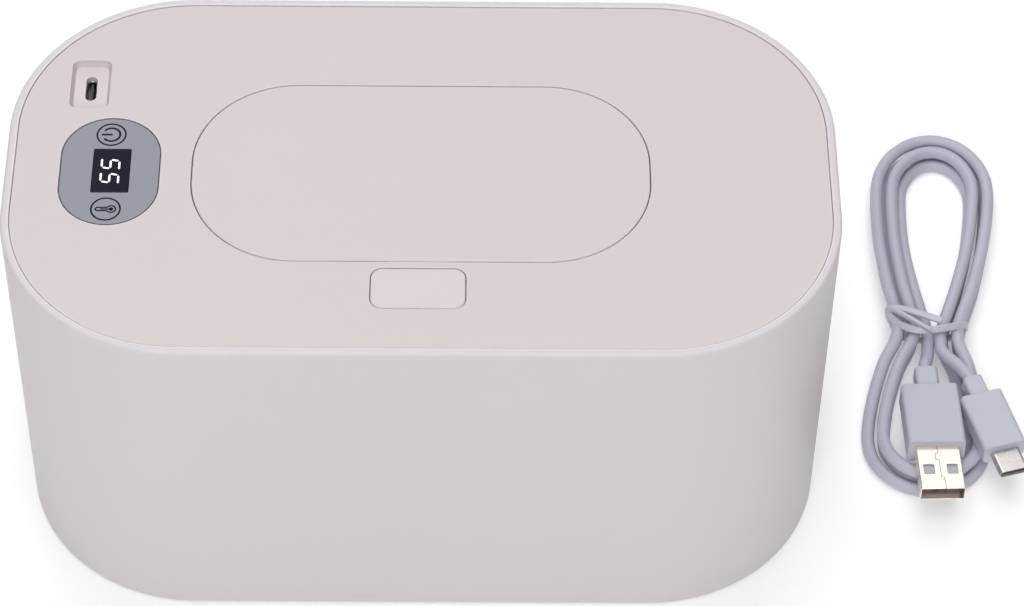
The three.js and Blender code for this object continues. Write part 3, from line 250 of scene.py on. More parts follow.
def edge_wear_and_highlight():
    """Shader group: a mask that is bright along outer edges and broken up by noise, used as a painted
    highlight on shells and metal and as wear on grips and feet
    """
    tree = bpy.data.node_groups.new("edge_wear_and_highlight", "ShaderNodeTree")
    add_sockets(
        tree,
        [("Radius", "NodeSocketFloat", 0.0003), ("Break Scale", "NodeSocketFloat", 400.0),
         ("Amount", "NodeSocketFloat", 4.0)],
        [("Mask", "NodeSocketFloat")],
    )
    into = add_node(tree, "NodeGroupInput")
    place = add_node(tree, "ShaderNodeTexCoord")
    rounded = add_node(tree, "ShaderNodeBevel", {"samples": 4}, links={"Radius": into.outputs["Radius"]})
    geometry = add_node(tree, "ShaderNodeNewGeometry")
    facing = add_node(
        tree, "ShaderNodeVectorMath", {"operation": "DOT_PRODUCT"},
        links={0: rounded.outputs["Normal"], 1: geometry.outputs["Normal"]},
    )
    turned = add_math(tree, "SUBTRACT", {0: 1.0}, {1: facing.outputs["Value"]})
    scaled = add_math(tree, "MULTIPLY", links={0: turned, 1: into.outputs["Amount"]})
    breaks = add_node(
        tree, "ShaderNodeTexNoise", values={"Detail": 3.0},
        links={"Vector": place.outputs["Object"], "Scale": into.outputs["Break Scale"]},
    )
    mask = add_math(tree, "MULTIPLY", links={0: scaled, 1: breaks.outputs["Fac"]}, clamp=True)
    add_node(tree, "NodeGroupOutput", links={"Mask": mask})
    return tree


grain_group = moulded_grain()
edge_wear_and_highlight_group = edge_wear_and_highlight()


def finish_of(name, dark, light, gloss, grain=2500.0, mottle=25.0, depth=0.00001, strength=0.3,
              stretch=(1.0, 1.0, 1.0), edge=None, edge_radius=0.0003, edge_amount=4.0, metallic=0.0,
              shine=0.5, glow=None, glow_strength=0.0):
    """Material: two near tones mixed by the mottle, grain in its relief and gloss, and lighter edges, a
    painted highlight on shells and metal and wear on grips and feet
    """
    material = bpy.data.materials.new(name)
    material.use_nodes = True
    tree = material.node_tree
    tree.nodes.clear()
    surface = add_node(tree, "ShaderNodeGroup", {"node_tree": grain_group}, values={
        "Grain Scale": grain, "Mottle Scale": mottle, "Stretch": stretch,
    })
    tone = add_node(
        tree, "ShaderNodeMix", {"data_type": "RGBA"},
        links={"Factor": surface.outputs["Tone"]},
    )
    tone.inputs[6].default_value = (*dark, 1.0)
    tone.inputs[7].default_value = (*light, 1.0)
    colour = tone.outputs[2]
    # Edge colour: a painted highlight along the edges of plastic shells and metal, and wear on grips and feet
    if edge:
        edge_wear_and_highlight_node = add_node(tree, "ShaderNodeGroup", {"node_tree": edge_wear_and_highlight_group}, values={
            "Radius": edge_radius, "Amount": edge_amount,
        })
        edge_wear_and_highlight_mix = add_node(
            tree, "ShaderNodeMix", {"data_type": "RGBA"},
            links={"Factor": edge_wear_and_highlight_node.outputs["Mask"], 6: colour},
        )
        edge_wear_and_highlight_mix.inputs[7].default_value = (*edge, 1.0)
        colour = edge_wear_and_highlight_mix.outputs[2]
    roughness = add_node(
        tree, "ShaderNodeMapRange", values={"To Min": gloss[0], "To Max": gloss[1]},
        links={"Value": surface.outputs["Gloss"]},
    )
    relief = add_node(
        tree, "ShaderNodeBump", values={"Strength": strength, "Distance": depth},
        links={"Height": surface.outputs["Height"]},
    )
    shader = add_node(
        tree, "ShaderNodeBsdfPrincipled",
        values={"Metallic": metallic, "Specular IOR Level": shine},
        links={"Base Color": colour, "Roughness": roughness.outputs["Result"],
               "Normal": relief.outputs["Normal"]},
    )
    if glow:
        shader.inputs["Emission Color"].default_value = (*glow, 1.0)
        shader.inputs["Emission Strength"].default_value = glow_strength
    add_node(tree, "ShaderNodeOutputMaterial", links={"Surface": shader.outputs["BSDF"]})
    return material


def end_with_finish(tree, into, made, output):
    """Last nodes of a geometry tree: its result made real, in the material that it is given"""
    whole = add_node(tree, "GeometryNodeRealizeInstances", links={"Geometry": made})
    dressed = add_node(
        tree, "GeometryNodeSetMaterial",
        links={"Geometry": whole.outputs["Geometry"], "Material": into.outputs["Finish"]},
    )
    add_node(tree, "NodeGroupOutput", links={output: dressed.outputs["Geometry"]})
    return tree


def tube_tree():
    """Geometry nodes: a round tube along a path of joined points, closed at both ends"""
    tree = bpy.data.node_groups.new("tube_along_path", "GeometryNodeTree")
    add_sockets(
        tree,
        [("Path", "NodeSocketGeometry", None), ("Radius", "NodeSocketFloat", 1.0),
         ("Sides", "NodeSocketInt", 16), ("Finish", "NodeSocketMaterial", None)],
        [("Tube", "NodeSocketGeometry")],
    )
    into = add_node(tree, "NodeGroupInput")
    path = add_node(tree, "GeometryNodeMeshToCurve", links={"Mesh": into.outputs["Path"]})
    section = add_node(
        tree, "GeometryNodeCurvePrimitiveCircle",
        links={"Radius": into.outputs["Radius"], "Resolution": into.outputs["Sides"]},
    )
    swept = add_node(
        tree, "GeometryNodeCurveToMesh", values={"Fill Caps": True},
        links={"Curve": path.outputs["Curve"], "Profile Curve": section.outputs["Curve"]},
    )
    return end_with_finish(tree, into, swept.outputs["Mesh"], "Tube")


def made_by_nodes(name, base_mesh, tree, inputs):
    """Plain mesh that a geometry node tree makes of a base mesh, in millimetres"""
    worker = new_object(name + "_worker", base_mesh)
    modifier = worker.modifiers.new("nodes", "NODES")
    modifier.node_group = tree
    for item in tree.interface.items_tree:
        if item.item_type == "SOCKET" and item.in_out == "INPUT" and item.name in inputs:
            modifier[item.identifier] = inputs[item.name]
    evaluated = worker.evaluated_get(bpy.context.evaluated_depsgraph_get())
    mesh = bpy.data.meshes.new_from_object(evaluated)
    mesh.name = name
    worker.modifiers.clear()
    bpy.data.objects.remove(worker)
    return mesh


def path_mesh(points):
    """Mesh of points joined one after another, for a tube to follow"""
    mesh = bpy.data.meshes.new("path")
    mesh.from_pydata([tuple(point) for point in points], [(i, i + 1) for i in range(len(points) - 1)], [])
    return mesh


SHARP_ANGLE = math.radians(38.0)
WELD = 0.0004


def placed(name, mesh, material=None):
    """Object of a millimetre mesh, made metres, smooth but for its sharp edges"""
    shape = bmesh.new()
    shape.from_mesh(mesh)
    bmesh.ops.remove_doubles(shape, verts=shape.verts, dist=WELD)
    bmesh.ops.recalc_face_normals(shape, faces=shape.faces)
    for face in shape.faces:
        face.smooth = True
        face.material_index = 0
    for edge in shape.edges:
        edge.smooth = len(edge.link_faces) == 2 and edge.calc_face_angle() < SHARP_ANGLE
    bmesh.ops.scale(shape, vec=(MM, MM, MM), verts=shape.verts)
    shape.to_mesh(mesh)
    shape.free()
    mesh.name = name
    mesh.materials.clear()
    mesh.materials.append(material)
    piece = new_object(name, mesh)
    weighted = piece.modifiers.new("even_normals", "WEIGHTED_NORMAL")
    weighted.keep_sharp = True
    return piece


nose_a = plug_nose(HEADING_A, RISE_A)
nose_c = plug_nose(HEADING_C, RISE_C)
lean = Matrix.Rotation(-HANK_LEAN, 3, "Z")
winding = [lean @ hank_point(step) + HANK_PLACE for step in range(PASS_COUNT + 1)]
straight = lean @ Vector((0.0, -CABLE_DIAMETER, 0.0))
cable_points = [
    COLLAR_C + nose_c * INTO_COLLAR,
    COLLAR_C.copy(),
    *[Vector(point) for point in reversed(FREE_END_C)],
    winding[0] + straight,
    *winding,
    winding[-1] + straight,
    *[Vector(point) for point in FREE_END_A],
    COLLAR_A.copy(),
    COLLAR_A + nose_a * INTO_COLLAR,
]
cable_path = smooth_path(cable_points, PATH_PIECES)
for point in cable_path:
    point.z = max(point.z, CABLE_DIAMETER / 2)
jacket = finish_of(
    "cable_jacket", dark=(0.44, 0.44, 0.53), light=(0.49, 0.49, 0.575), gloss=(0.42, 0.58),
    grain=1800.0, mottle=90.0, depth=0.00002, strength=0.25,
)
tube_nodes = tube_tree()
cable = placed("charging_cable", made_by_nodes("charging_cable", path_mesh(cable_path), tube_nodes, {
    "Radius": CABLE_DIAMETER / 2, "Sides": CABLE_SIDES, "Finish": jacket,
}), jacket)
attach(cable, "base")
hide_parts("cable_hank", "cable_end_usb_a", "cable_end_usb_c")


# Twist tie: a wire in a soft flat sleeve, bent round the waist of the hank. Both its ends are twisted
# on the left and folded back over the cable, one cut square and one cut to a point.
TIE_WIDTH = 2.1
TIE_THICKNESS = 1.2
TIE_SIDES = 16
TIE_PIECES = 8
TIE_SQUARENESS = 0.6
TIP_REACH = TIE_WIDTH * 0.6
TIP_SHARE = 0.12
TIE_POINTS = [
    (142.8, 27.9, 12.0), (139.4, 29.3, 12.1), (135.5, 30.9, 12.0), (131.4, 32.8, 11.4),
    (128.6, 33.8, 10.2), (128.5, 33.5, 8.0), (129.6, 32.6, 5.6), (131.2, 31.4, 3.2),
    (134.0, 30.2, 1.45), (140.0, 29.6, 1.15), (145.6, 30.2, 1.5), (149.0, 30.8, 2.9),
    (150.3, 31.0, 5.2), (149.8, 30.0, 7.8), (147.5, 28.0, 9.9), (143.6, 26.3, 10.8),
    (139.7, 25.5, 11.0), (136.1, 25.5, 10.8), (133.3, 26.7, 10.4), (131.2, 29.0, 9.4),
    (129.4, 31.8, 9.0), (128.6, 33.5, 9.9), (130.1, 32.0, 11.6), (133.4, 28.8, 12.4),
    (136.4, 26.4, 12.5), (138.9, 24.7, 12.2),
]


def sleeve(points, width, thickness, sides):
    """Closed rings of an oval sleeve along a path, its wide side turned towards the path's outside"""
    def squared(wave, k):
        value = wave(2 * math.pi * k / sides)
        return math.copysign(abs(value) ** TIE_SQUARENESS, value)

    rings = []
    across = Vector((0.0, 1.0, 0.0))
    for i, point in enumerate(points):
        along = (points[min(i + 1, len(points) - 1)] - points[max(i - 1, 0)]).normalized()
        across = (across - along * across.dot(along)).normalized()
        third = along.cross(across)
        rings.append([
            point
            + across * (width / 2 * squared(math.cos, k))
            + third * (thickness / 2 * squared(math.sin, k))
            for k in range(sides)
        ])
    return rings


def ring_shape(rings, closed=False):
    """Closed bmesh through a stack of rings with the same number of points"""
    shape = bmesh.new()
    loops = [[shape.verts.new(point) for point in ring] for ring in rings]
    pairs = list(zip(loops, loops[1:])) + ([(loops[-1], loops[0])] if closed else [])
    for low, high in pairs:
        for i in range(len(low)):
            j = (i + 1) % len(low)
            shape.faces.new((low[i], low[j], high[j], high[i]))
    if not closed:
        shape.faces.new(list(reversed(loops[0])))
        shape.faces.new(loops[-1])
    bmesh.ops.recalc_face_normals(shape, faces=shape.faces)
    return shape


def mesh_of(shape, name="part"):
    """Mesh of a bmesh, which is freed"""
    mesh = bpy.data.meshes.new(name)
    shape.to_mesh(mesh)
    shape.free()
    return mesh


tie_path = smooth_path([Vector(point) for point in TIE_POINTS], TIE_PIECES)
tie_rings = sleeve(tie_path, TIE_WIDTH, TIE_THICKNESS, TIE_SIDES)
tip = tie_path[-1] + (tie_path[-1] - tie_path[-4]).normalized() * TIP_REACH
tie_rings.append([tip + (point - tie_path[-1]) * TIP_SHARE for point in tie_rings[-1]])
tie_finish = finish_of(
    "tie_sleeve", dark=(0.49, 0.485, 0.57), light=(0.55, 0.545, 0.62), gloss=(0.35, 0.5),
    grain=1500.0, mottle=120.0, depth=0.00002, strength=0.3,
)
tie = placed("twist_tie", mesh_of(ring_shape(tie_rings)), tie_finish)
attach(tie, "base")
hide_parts("cable_tie")


# Plugs: a soft overmoulded grip with a short collar on each, and the pressed metal shell of its standard.
# The wide one's shell is folded from sheet, with a locking seam and two spring windows on each face.
PLUG_A = {
    "collar": (3.15, 2.9, 7.4, 1.3),
    "body": (7.75, 4.0, 21.2, 1.1),
    "metal": (6.0, 2.25, 15.0, 0.5, 0.3),
    "insulator": (5.3, 0.95, 11.6, 0.7),
}
PLUG_C = {
    "collar": (2.75, 2.6, 6.4, 1.2),
    "body": (5.95, 3.3, 18.7, 1.4),
    "metal": (4.13, 1.2, 6.9, 1.17, 0.25),
    "insulator": (3.5, 0.4, 5.4, 0.0),
}
PLUG_GAP = 0.3
EDGE_STEPS = 5
COLLAR_LIP = 0.12
MOUTH_ROOM = 0.12
MOUTH_DEPTH = 0.9
GRIP_SOFT = 0.34
NECK_FILLET = 0.2
SHELL_ROOT = 0.6
INSERT_BACK = 0.6
INSERT_BEVEL = 0.25
INSERT_CORNER = 0.15
OVERRUN = 1.0


def outline(half_x, half_y, radius, centre=(0.0, 0.0), steps=8):
    """Rounded rectangle, anticlockwise, as (x, y) pairs"""
    radius = max(min(radius, half_x, half_y), WELD)
    points = []
    for quarter, (sign_x, sign_y) in enumerate(((1, 1), (-1, 1), (-1, -1), (1, -1))):
        for i in range(steps + 1):
            angle = (quarter + i / steps) * math.pi / 2
            points.append((
                centre[0] + sign_x * (half_x - radius) + radius * math.cos(angle),
                centre[1] + sign_y * (half_y - radius) + radius * math.sin(angle),
            ))
    return points


def arc(centre_inset, centre_z, radius, start, end, steps):
    """Part of a fillet in a profile of (inset, z) pairs, from one angle in degrees to another"""
    turns = [math.radians(start + (end - start) * i / steps) for i in range(steps + 1)]
    return [(centre_inset + radius * math.cos(a), centre_z + radius * math.sin(a)) for a in turns]


def combined(base, parts, operation):
    """Mesh of a base with other meshes cut from it or joined to it, one after another"""
    worker = new_object("worker", base)
    others = []
    for part in parts:
        other = new_object("other", part)
        others.append(other)
        modifier = worker.modifiers.new("combine", "BOOLEAN")
        modifier.operation = operation
        modifier.solver = "EXACT"
        modifier.object = other
    bpy.context.view_layer.update()
    mesh = bpy.data.meshes.new_from_object(
        worker.evaluated_get(bpy.context.evaluated_depsgraph_get())
    )
    worker.modifiers.clear()
    for other in [worker, *others]:
        bpy.data.objects.remove(other)
    return mesh


def cut(base, *parts):
    return combined(base, parts, "DIFFERENCE")


def joined(base, *parts):
    return combined(base, parts, "UNION")


def ring_mesh(rings, closed=False):
    return mesh_of(ring_shape(rings, closed))


def inset_mesh(half_x, half_y, radius, profile, centre=(0.0, 0.0), steps=8, closed=False):
    """Mesh through rings of a rounded rectangle that is inset and lifted as a profile says"""
    return ring_mesh([
        [Vector((x, y, z)) for x, y in outline(half_x - inset, half_y - inset, radius - inset, centre, steps)]
        for inset, z in profile
    ], closed)


def prism(points, low, high):
    """Upright prism on an outline of (x, y) pairs"""
    return ring_mesh([[Vector((x, y, z)) for x, y in points] for z in (low, high)])


def block(low, high):
    """Box between two corners"""
    points = [(low[0], low[1]), (high[0], low[1]), (high[0], high[1]), (low[0], high[1])]
    return prism(points, low[2], high[2])


def plug_turn(collar, nose):
    """Matrix that sets a plug, modelled along Z, at its collar's rear"""
    level = Vector((-nose.y, nose.x, 0.0)).normalized()
    over = nose.cross(level)
    return Matrix.Translation(collar) @ Matrix((level, over, nose)).transposed().to_4x4()


def grip_mesh(plug):
    """Collar and grip of a plug in one: the collar's mouth is rounded and the grip's edges are soft"""
    collar_x, collar_y, collar_length, collar_corner = plug["collar"]
    body_x, body_y, body_length, corner = plug["body"]
    mouth = CABLE_DIAMETER / 2 + MOUTH_ROOM
    wide_mouth = mouth + COLLAR_LIP
    end = collar_length + body_length

    def ring(half_x, half_y, radius, z):
        return [Vector((x, y, z)) for x, y in outline(half_x, half_y, radius)]

    rings = [
        ring(mouth, mouth, mouth, MOUTH_DEPTH),
        ring(mouth, mouth, mouth, COLLAR_LIP),
        ring(wide_mouth, wide_mouth, wide_mouth, 0.0),
    ]
    rings += [
        ring(collar_x - inset, collar_y - inset, collar_corner - inset, z)
        for inset, z in arc(COLLAR_LIP, COLLAR_LIP, COLLAR_LIP, -90, -180, 4)
    ]
    rings += [
        ring(collar_x + inset, collar_y + inset, collar_corner + inset, z)
        for inset, z in arc(NECK_FILLET, collar_length - NECK_FILLET, NECK_FILLET, 180, 90, 3)
    ]
    rings += [
        ring(body_x - inset, body_y - inset, corner - inset, z)
        for inset, z in (
            *arc(GRIP_SOFT, collar_length + GRIP_SOFT, GRIP_SOFT, -90, -180, EDGE_STEPS),
            *arc(GRIP_SOFT, end - GRIP_SOFT, GRIP_SOFT, 180, 90, EDGE_STEPS),
        )
    ]
    return ring_mesh(rings)


def grip_length(plug):
    """Length of a plug's collar and body"""
    return plug["collar"][2] + plug["body"][2]


def shell_mesh(plug):
    """Hollow metal shell of a plug, rounded where the sheet is folded and at its mouth"""
    half_x, half_y, length, corner, thick = plug["metal"]
    start = grip_length(plug) - SHELL_ROOT
    end = grip_length(plug) + PLUG_GAP + length
    lip = thick / 2
    profile = [(0.0, start), *arc(lip, end - lip, lip, 180, 0, 6), (thick, start + 2 * thick)]
    return inset_mesh(half_x, half_y, corner, profile, steps=6)


def insulator_mesh(plug):
    """Plastic tongue or insert inside a shell, its front edge bevelled"""
    half_x, half_y, length, lift = plug["insulator"]
    start = grip_length(plug) + PLUG_GAP + INSERT_BACK
    bevel = min(INSERT_BEVEL, half_y / 2)
    profile = [(0.0, start), (0.0, start + length - bevel), (bevel, start + length)]
    return inset_mesh(half_x, half_y, INSERT_CORNER, profile, centre=(0.0, lift), steps=2)


grip_finish = finish_of(
    "plug_grip", dark=(0.47, 0.485, 0.555), light=(0.505, 0.52, 0.59), gloss=(0.4, 0.55),
    grain=2200.0, mottle=60.0, depth=0.00002, strength=0.3,
    edge=(0.62, 0.63, 0.69), edge_radius=0.0004, edge_amount=1.5,
)
# The edge colours of both plug shells are painted highlights, bright lines standing in for light glinting on
# the metal's edges.
plug_metal = finish_of(
    "plug_metal", dark=(0.9, 0.8, 0.735), light=(0.97, 0.88, 0.81), gloss=(0.2, 0.3),
    grain=1400.0, mottle=300.0, depth=0.000004, strength=0.08,
    edge=(0.95, 0.92, 0.88), edge_radius=0.00012, edge_amount=3.0, metallic=1.0,
)
small_plug_metal = finish_of(
    "small_plug_metal", dark=(0.6, 0.58, 0.57), light=(0.72, 0.7, 0.68), gloss=(0.2, 0.36),
    grain=3600.0, mottle=200.0, depth=0.000006, strength=0.12,
    edge=(0.95, 0.94, 0.92), edge_radius=0.00015, edge_amount=4.0, metallic=1.0,
)
insert_plastic = finish_of(
    "plug_insert", dark=(0.42, 0.4, 0.46), light=(0.48, 0.46, 0.52), gloss=(0.35, 0.5), mottle=200.0,
)
contact_gold = finish_of(
    "contact_gold", dark=(0.75, 0.52, 0.2), light=(0.9, 0.66, 0.3), gloss=(0.2, 0.35),
    grain=1500.0, mottle=500.0, metallic=1.0,
)

SPRING_WINDOW = (1.5, 1.8, 0.5)
SPRING_WINDOW_X = 3.15
SPRING_WINDOW_BACK = 6.3
SEAM_WIDTH = 0.15
SEAM_DEPTH = 0.6
SEAM_SHARES = [
    (-0.02, -0.02), (-0.02, 0.165), (-0.08, 0.175), (-0.085, 0.31), (-0.01, 0.32), (-0.01, 0.72),
    (0.05, 0.735), (0.065, 1.02),
]


def seam_cutters(plug):
    """Short straight grooves, one after another, along the folded joint of a shell's upper face"""
    half_x, half_y, length, _, _ = plug["metal"]
    start = grip_length(plug) + PLUG_GAP
    line = [Vector((x * half_x * 2, start + z * length)) for x, z in SEAM_SHARES]
    cutters = []
    for before, after in zip(line, line[1:]):
        along = (after - before).normalized() * SEAM_WIDTH / 2
        side = Vector((-along.y, along.x))
        corners = [before - along - side, after + along - side, after + along + side, before - along + side]
        cutters.append(ring_mesh([
            [Vector((p.x, level, p.y)) for p in corners] for level in (half_y - SEAM_DEPTH, half_y + OVERRUN)
        ]))
    return cutters


def window_cutters(plug):
    """Rounded square windows, two side by side, through both faces of a shell"""
    start = grip_length(plug) + PLUG_GAP
    half_y = plug["metal"][1]
    cutters = []
    for side in (-1, 1):
        centre = (side * SPRING_WINDOW_X, start + SPRING_WINDOW_BACK + SPRING_WINDOW[1])
        hole = outline(*SPRING_WINDOW, centre, 4)
        cutters.append(ring_mesh([
            [Vector((x, level, z)) for x, z in hole] for level in (-half_y - OVERRUN, half_y + OVERRUN)
        ]))
    return cutters


def plug_piece(name, mesh, turn, material, node):
    """Piece of a plug, turned into its place"""
    mesh.transform(turn)
    piece = placed(name, mesh, material)
    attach(piece, "base")
    if node:
        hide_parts(node)
    return piece


turn_a = plug_turn(COLLAR_A, nose_a)
turn_c = plug_turn(COLLAR_C, nose_c)
shell_a = cut(shell_mesh(PLUG_A), *window_cutters(PLUG_A), *seam_cutters(PLUG_A))
CONTACT_HALF = 0.5
CONTACT_PROUD = 0.06
CONTACT_LENGTH = 9.0
CONTACT_BACK = 2.4
CONTACT_PITCHES = (-3.5, -1.0, 1.0, 3.5)
contact_start = grip_length(PLUG_A) + PLUG_GAP + CONTACT_BACK
contact_face = PLUG_A["insulator"][3] - PLUG_A["insulator"][1]
contact_bars = bmesh.new()
for pitch in CONTACT_PITCHES:
    bar = block(
        (pitch - CONTACT_HALF, contact_face - CONTACT_PROUD, contact_start),
        (pitch + CONTACT_HALF, contact_face + CONTACT_PROUD / 2, contact_start + CONTACT_LENGTH),
    )
    contact_bars.from_mesh(bar)
cord_pieces = [
    tie,
    plug_piece("usb_a_grip", grip_mesh(PLUG_A), turn_a, grip_finish, "usb_a_overmould"),
    plug_piece("usb_a_metal", shell_a, turn_a, plug_metal, "usb_a_shell"),
    plug_piece("usb_a_insert", insulator_mesh(PLUG_A), turn_a, insert_plastic, "usb_a_insulator"),
    plug_piece("usb_a_contacts", mesh_of(contact_bars), turn_a, contact_gold, None),
    plug_piece("usb_c_grip", grip_mesh(PLUG_C), turn_c, grip_finish, "usb_c_overmould"),
    plug_piece("usb_c_metal", shell_mesh(PLUG_C), turn_c, small_plug_metal, "usb_c_shell"),
    plug_piece("usb_c_insert", insulator_mesh(PLUG_C), turn_c, insert_plastic, "usb_c_insulator"),
]


# Tub: one deep moulding in satin plastic, with a narrow rounded rim, a ledge inside for the lid to sit on,
# a floor a little above the table and a round pocket for each rubber foot.
tub_low, tub_high = (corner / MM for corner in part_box("tub"))
TUB_SIZE = (tub_high.x, tub_high.y, 45.8)
TUB_TOP = tub_high.z
TUB_UNDER = tub_low.z
TUB_WALL = 2.2
TUB_FLOOR = TUB_UNDER + 2.4
BASE_FILLET = 0.8
RIM_FILLET = 0.9
RIM_INNER_FILLET = 0.3
LEDGE_TOP = 85.9
LEDGE_WIDTH = 3.0
LEDGE_THICKNESS = 2.0
LEDGE_GUSSET = 3.0
LEDGE_BLEND = 0.3
LEDGE_EDGE = 0.2
FLOOR_FILLET = 4.0
CORNER_STEPS = 40
FOOT_RADIUS = 6.0
FOOT_HEIGHT = 1.3
FOOT_POCKET_RADIUS = 6.3
FOOT_POCKET_TOP = TUB_UNDER + 1.2
FOOT_PLACES = [(sx * 72.024, sy * 34.102) for sx, sy in ((1, 1), (-1, 1), (-1, -1), (1, -1))]

# The edge colours of both plastics are painted highlights: the lid's fillets and the tub's rim are lightened
# as if lit, which also makes the seams look less dark.
shell_plastic = finish_of(
    "shell_plastic", dark=(0.615, 0.548, 0.552), light=(0.64, 0.6, 0.597), gloss=(0.46, 0.6),
    grain=3200.0, mottle=9.0, depth=0.00001, strength=0.25,
    edge=(0.84, 0.79, 0.785), edge_radius=0.0006, edge_amount=6.0,
)
tub_plastic = finish_of(
    "tub_plastic", dark=(0.627, 0.588, 0.61), light=(0.657, 0.618, 0.64), gloss=(0.38, 0.5),
    grain=3200.0, mottle=14.0, depth=0.00001, strength=0.25,
    edge=(0.86, 0.85, 0.865), edge_radius=0.0012, edge_amount=9.0,
)
tub_profile = [
    *arc(BASE_FILLET, TUB_UNDER + BASE_FILLET, BASE_FILLET, -90, -180, 8),
    *arc(RIM_FILLET, TUB_TOP - RIM_FILLET, RIM_FILLET, 180, 90, 6),
    *arc(TUB_WALL - RIM_INNER_FILLET, TUB_TOP - RIM_INNER_FILLET, RIM_INNER_FILLET, 90, 0, 5),
    (TUB_WALL, LEDGE_TOP + LEDGE_BLEND),
    (TUB_WALL + LEDGE_BLEND, LEDGE_TOP),
    (TUB_WALL + LEDGE_WIDTH - LEDGE_EDGE, LEDGE_TOP),
    (TUB_WALL + LEDGE_WIDTH, LEDGE_TOP - LEDGE_EDGE),
    (TUB_WALL + LEDGE_WIDTH, LEDGE_TOP - LEDGE_THICKNESS),
    (TUB_WALL, LEDGE_TOP - LEDGE_THICKNESS - LEDGE_GUSSET),
    *arc(TUB_WALL + FLOOR_FILLET, TUB_FLOOR + FLOOR_FILLET, FLOOR_FILLET, 180, 270, 8),
]


def circle(radius, sides):
    """Regular ring of (x, y) pairs round the origin"""
    turns = [2 * math.pi * k / sides for k in range(sides)]
    return [(radius * math.cos(turn), radius * math.sin(turn)) for turn in turns]


def disc(radius, centre, low, high, sides=40):
    """Upright round prism"""
    return prism([(centre[0] + x, centre[1] + y) for x, y in circle(radius, sides)], low, high)


tub_mesh = inset_mesh(*TUB_SIZE, tub_profile, steps=CORNER_STEPS)
tub_mesh = cut(tub_mesh, *[
    disc(FOOT_POCKET_RADIUS, place, TUB_UNDER - OVERRUN, FOOT_POCKET_TOP) for place in FOOT_PLACES
])
tub = placed("tub_moulding", tub_mesh, tub_plastic)
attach(tub, "base")
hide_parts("tub")


# Feet: four moulded rubber discs, each pressed into its pocket under the tub, with a softened rim
# and a shallow dish in the middle that grips the table.
def copies_tree():
    """Geometry nodes: a copy of one shape at each point of the base mesh"""
    tree = bpy.data.node_groups.new("copies_at_places", "GeometryNodeTree")
    add_sockets(
        tree,
        [("Places", "NodeSocketGeometry", None), ("Shape", "NodeSocketObject", None),
         ("Turn", "NodeSocketFloat", 0.0), ("Seed", "NodeSocketInt", 3),
         ("Finish", "NodeSocketMaterial", None)],
        [("Copies", "NodeSocketGeometry")],
    )
    into = add_node(tree, "NodeGroupInput")
    shape = add_node(tree, "GeometryNodeObjectInfo", links={"Object": into.outputs["Shape"]})
    turn = add_node(
        tree, "FunctionNodeRandomValue", {"data_type": "FLOAT"},
        links={"Max": into.outputs["Turn"], "Seed": into.outputs["Seed"]},
    )
    euler = add_node(tree, "ShaderNodeCombineXYZ", links={"Z": turn.outputs[1]})
    copies = add_node(
        tree, "GeometryNodeInstanceOnPoints",
        links={"Points": into.outputs["Places"], "Instance": shape.outputs["Geometry"],
               "Rotation": euler.outputs["Vector"]},
    )
    return end_with_finish(tree, into, copies.outputs["Instances"], "Copies")


def copies(name, shape_mesh, places, turn, material):
    """Mesh of one shape set at several places, each turned by chance up to an angle"""
    shape = new_object(name + "_shape", shape_mesh)
    points = bpy.data.meshes.new("places")
    points.from_pydata([tuple(place) for place in places], [], [])
    mesh = made_by_nodes(name, points, copies_nodes, {"Shape": shape, "Turn": turn, "Finish": material})
    bpy.data.objects.remove(shape)
    return mesh


def turned_mesh(profile, sides=40):
    """Solid of revolution about Z, from (radius, z) pairs that start and end on the axis"""
    return ring_mesh([[Vector((x, y, z)) for x, y in circle(radius, sides)] for radius, z in profile])


copies_nodes = copies_tree()
rubber = finish_of(
    "foot_rubber", dark=(0.4, 0.4, 0.39), light=(0.47, 0.46, 0.45), gloss=(0.75, 0.9),
    grain=1200.0, mottle=150.0, depth=0.00004, strength=0.4,
    edge=(0.55, 0.54, 0.53), edge_radius=0.0003, edge_amount=2.0,
)
FOOT_DISH = [(3.4, 0.35), (3.7, 0.1), (4.0, 0.0)]
FOOT_RIM = [(0.5, 0.0), (0.2, 0.1), (0.0, 0.45), (0.0, FOOT_HEIGHT)]
foot_profile = FOOT_DISH + [(FOOT_RADIUS - inset, z) for inset, z in FOOT_RIM]
feet = placed(
    "rubber_feet",
    copies("rubber_feet", turned_mesh(foot_profile), [(x, y, 0.0) for x, y in FOOT_PLACES],
           math.pi, rubber),
    rubber,
)
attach(feet, "base")
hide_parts(*[f"rubber_foot_{i}" for i in range(1, 5)])


# Lid cover: a flat plate with a skirt that drops inside the tub's rim. It holds the flap's well, the
# button's opening, the bed of the control panel, the socket's pocket and the bosses for its screws.
lid_low, lid_high = (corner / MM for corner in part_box("lid_cover"))
LID_TOP = lid_high.z
LID_BOTTOM = lid_low.z
LID_INSET = TUB_WALL + 0.14
LID_FILLET = 0.2
LID_STEP_OUT = 0.09
LID_STEP_DOWN = 0.6
LID_PLATE = 2.0
LID_SKIRT = 1.8
PLATE_UNDER = LID_TOP - LID_PLATE
FLAP_HALF_X = 57.65
FLAP_HALF_Y = 29.5
FLAP_RADIUS = FLAP_HALF_Y - 3.2
FLAP_SIZE = (FLAP_HALF_X, FLAP_HALF_Y, FLAP_RADIUS)
FLAP_CENTRE = (-0.3, -0.3)
FLAP_GAP = 0.45
SEEN_GAP = 0.2
FLAP_REAR = FLAP_CENTRE[1] + FLAP_HALF_Y
FLAP_FRONT = FLAP_CENTRE[1] - FLAP_HALF_Y
WELL_FLOOR = LID_TOP - 5.6
WELL_BOTTOM = WELL_FLOOR - 1.6
WELL_WALL = 1.5
OPENING_FILLET = 0.3
BUTTON_OPENING_FILLET = 0.25
PANEL_BED_FILLET = 0.12
FLAP_STEPS = 32
THROAT_SIZE = (36.0, 15.0, 15.0)
HINGE_DEPTH = 4.0
HINGE_Y = FLAP_REAR + 4.7
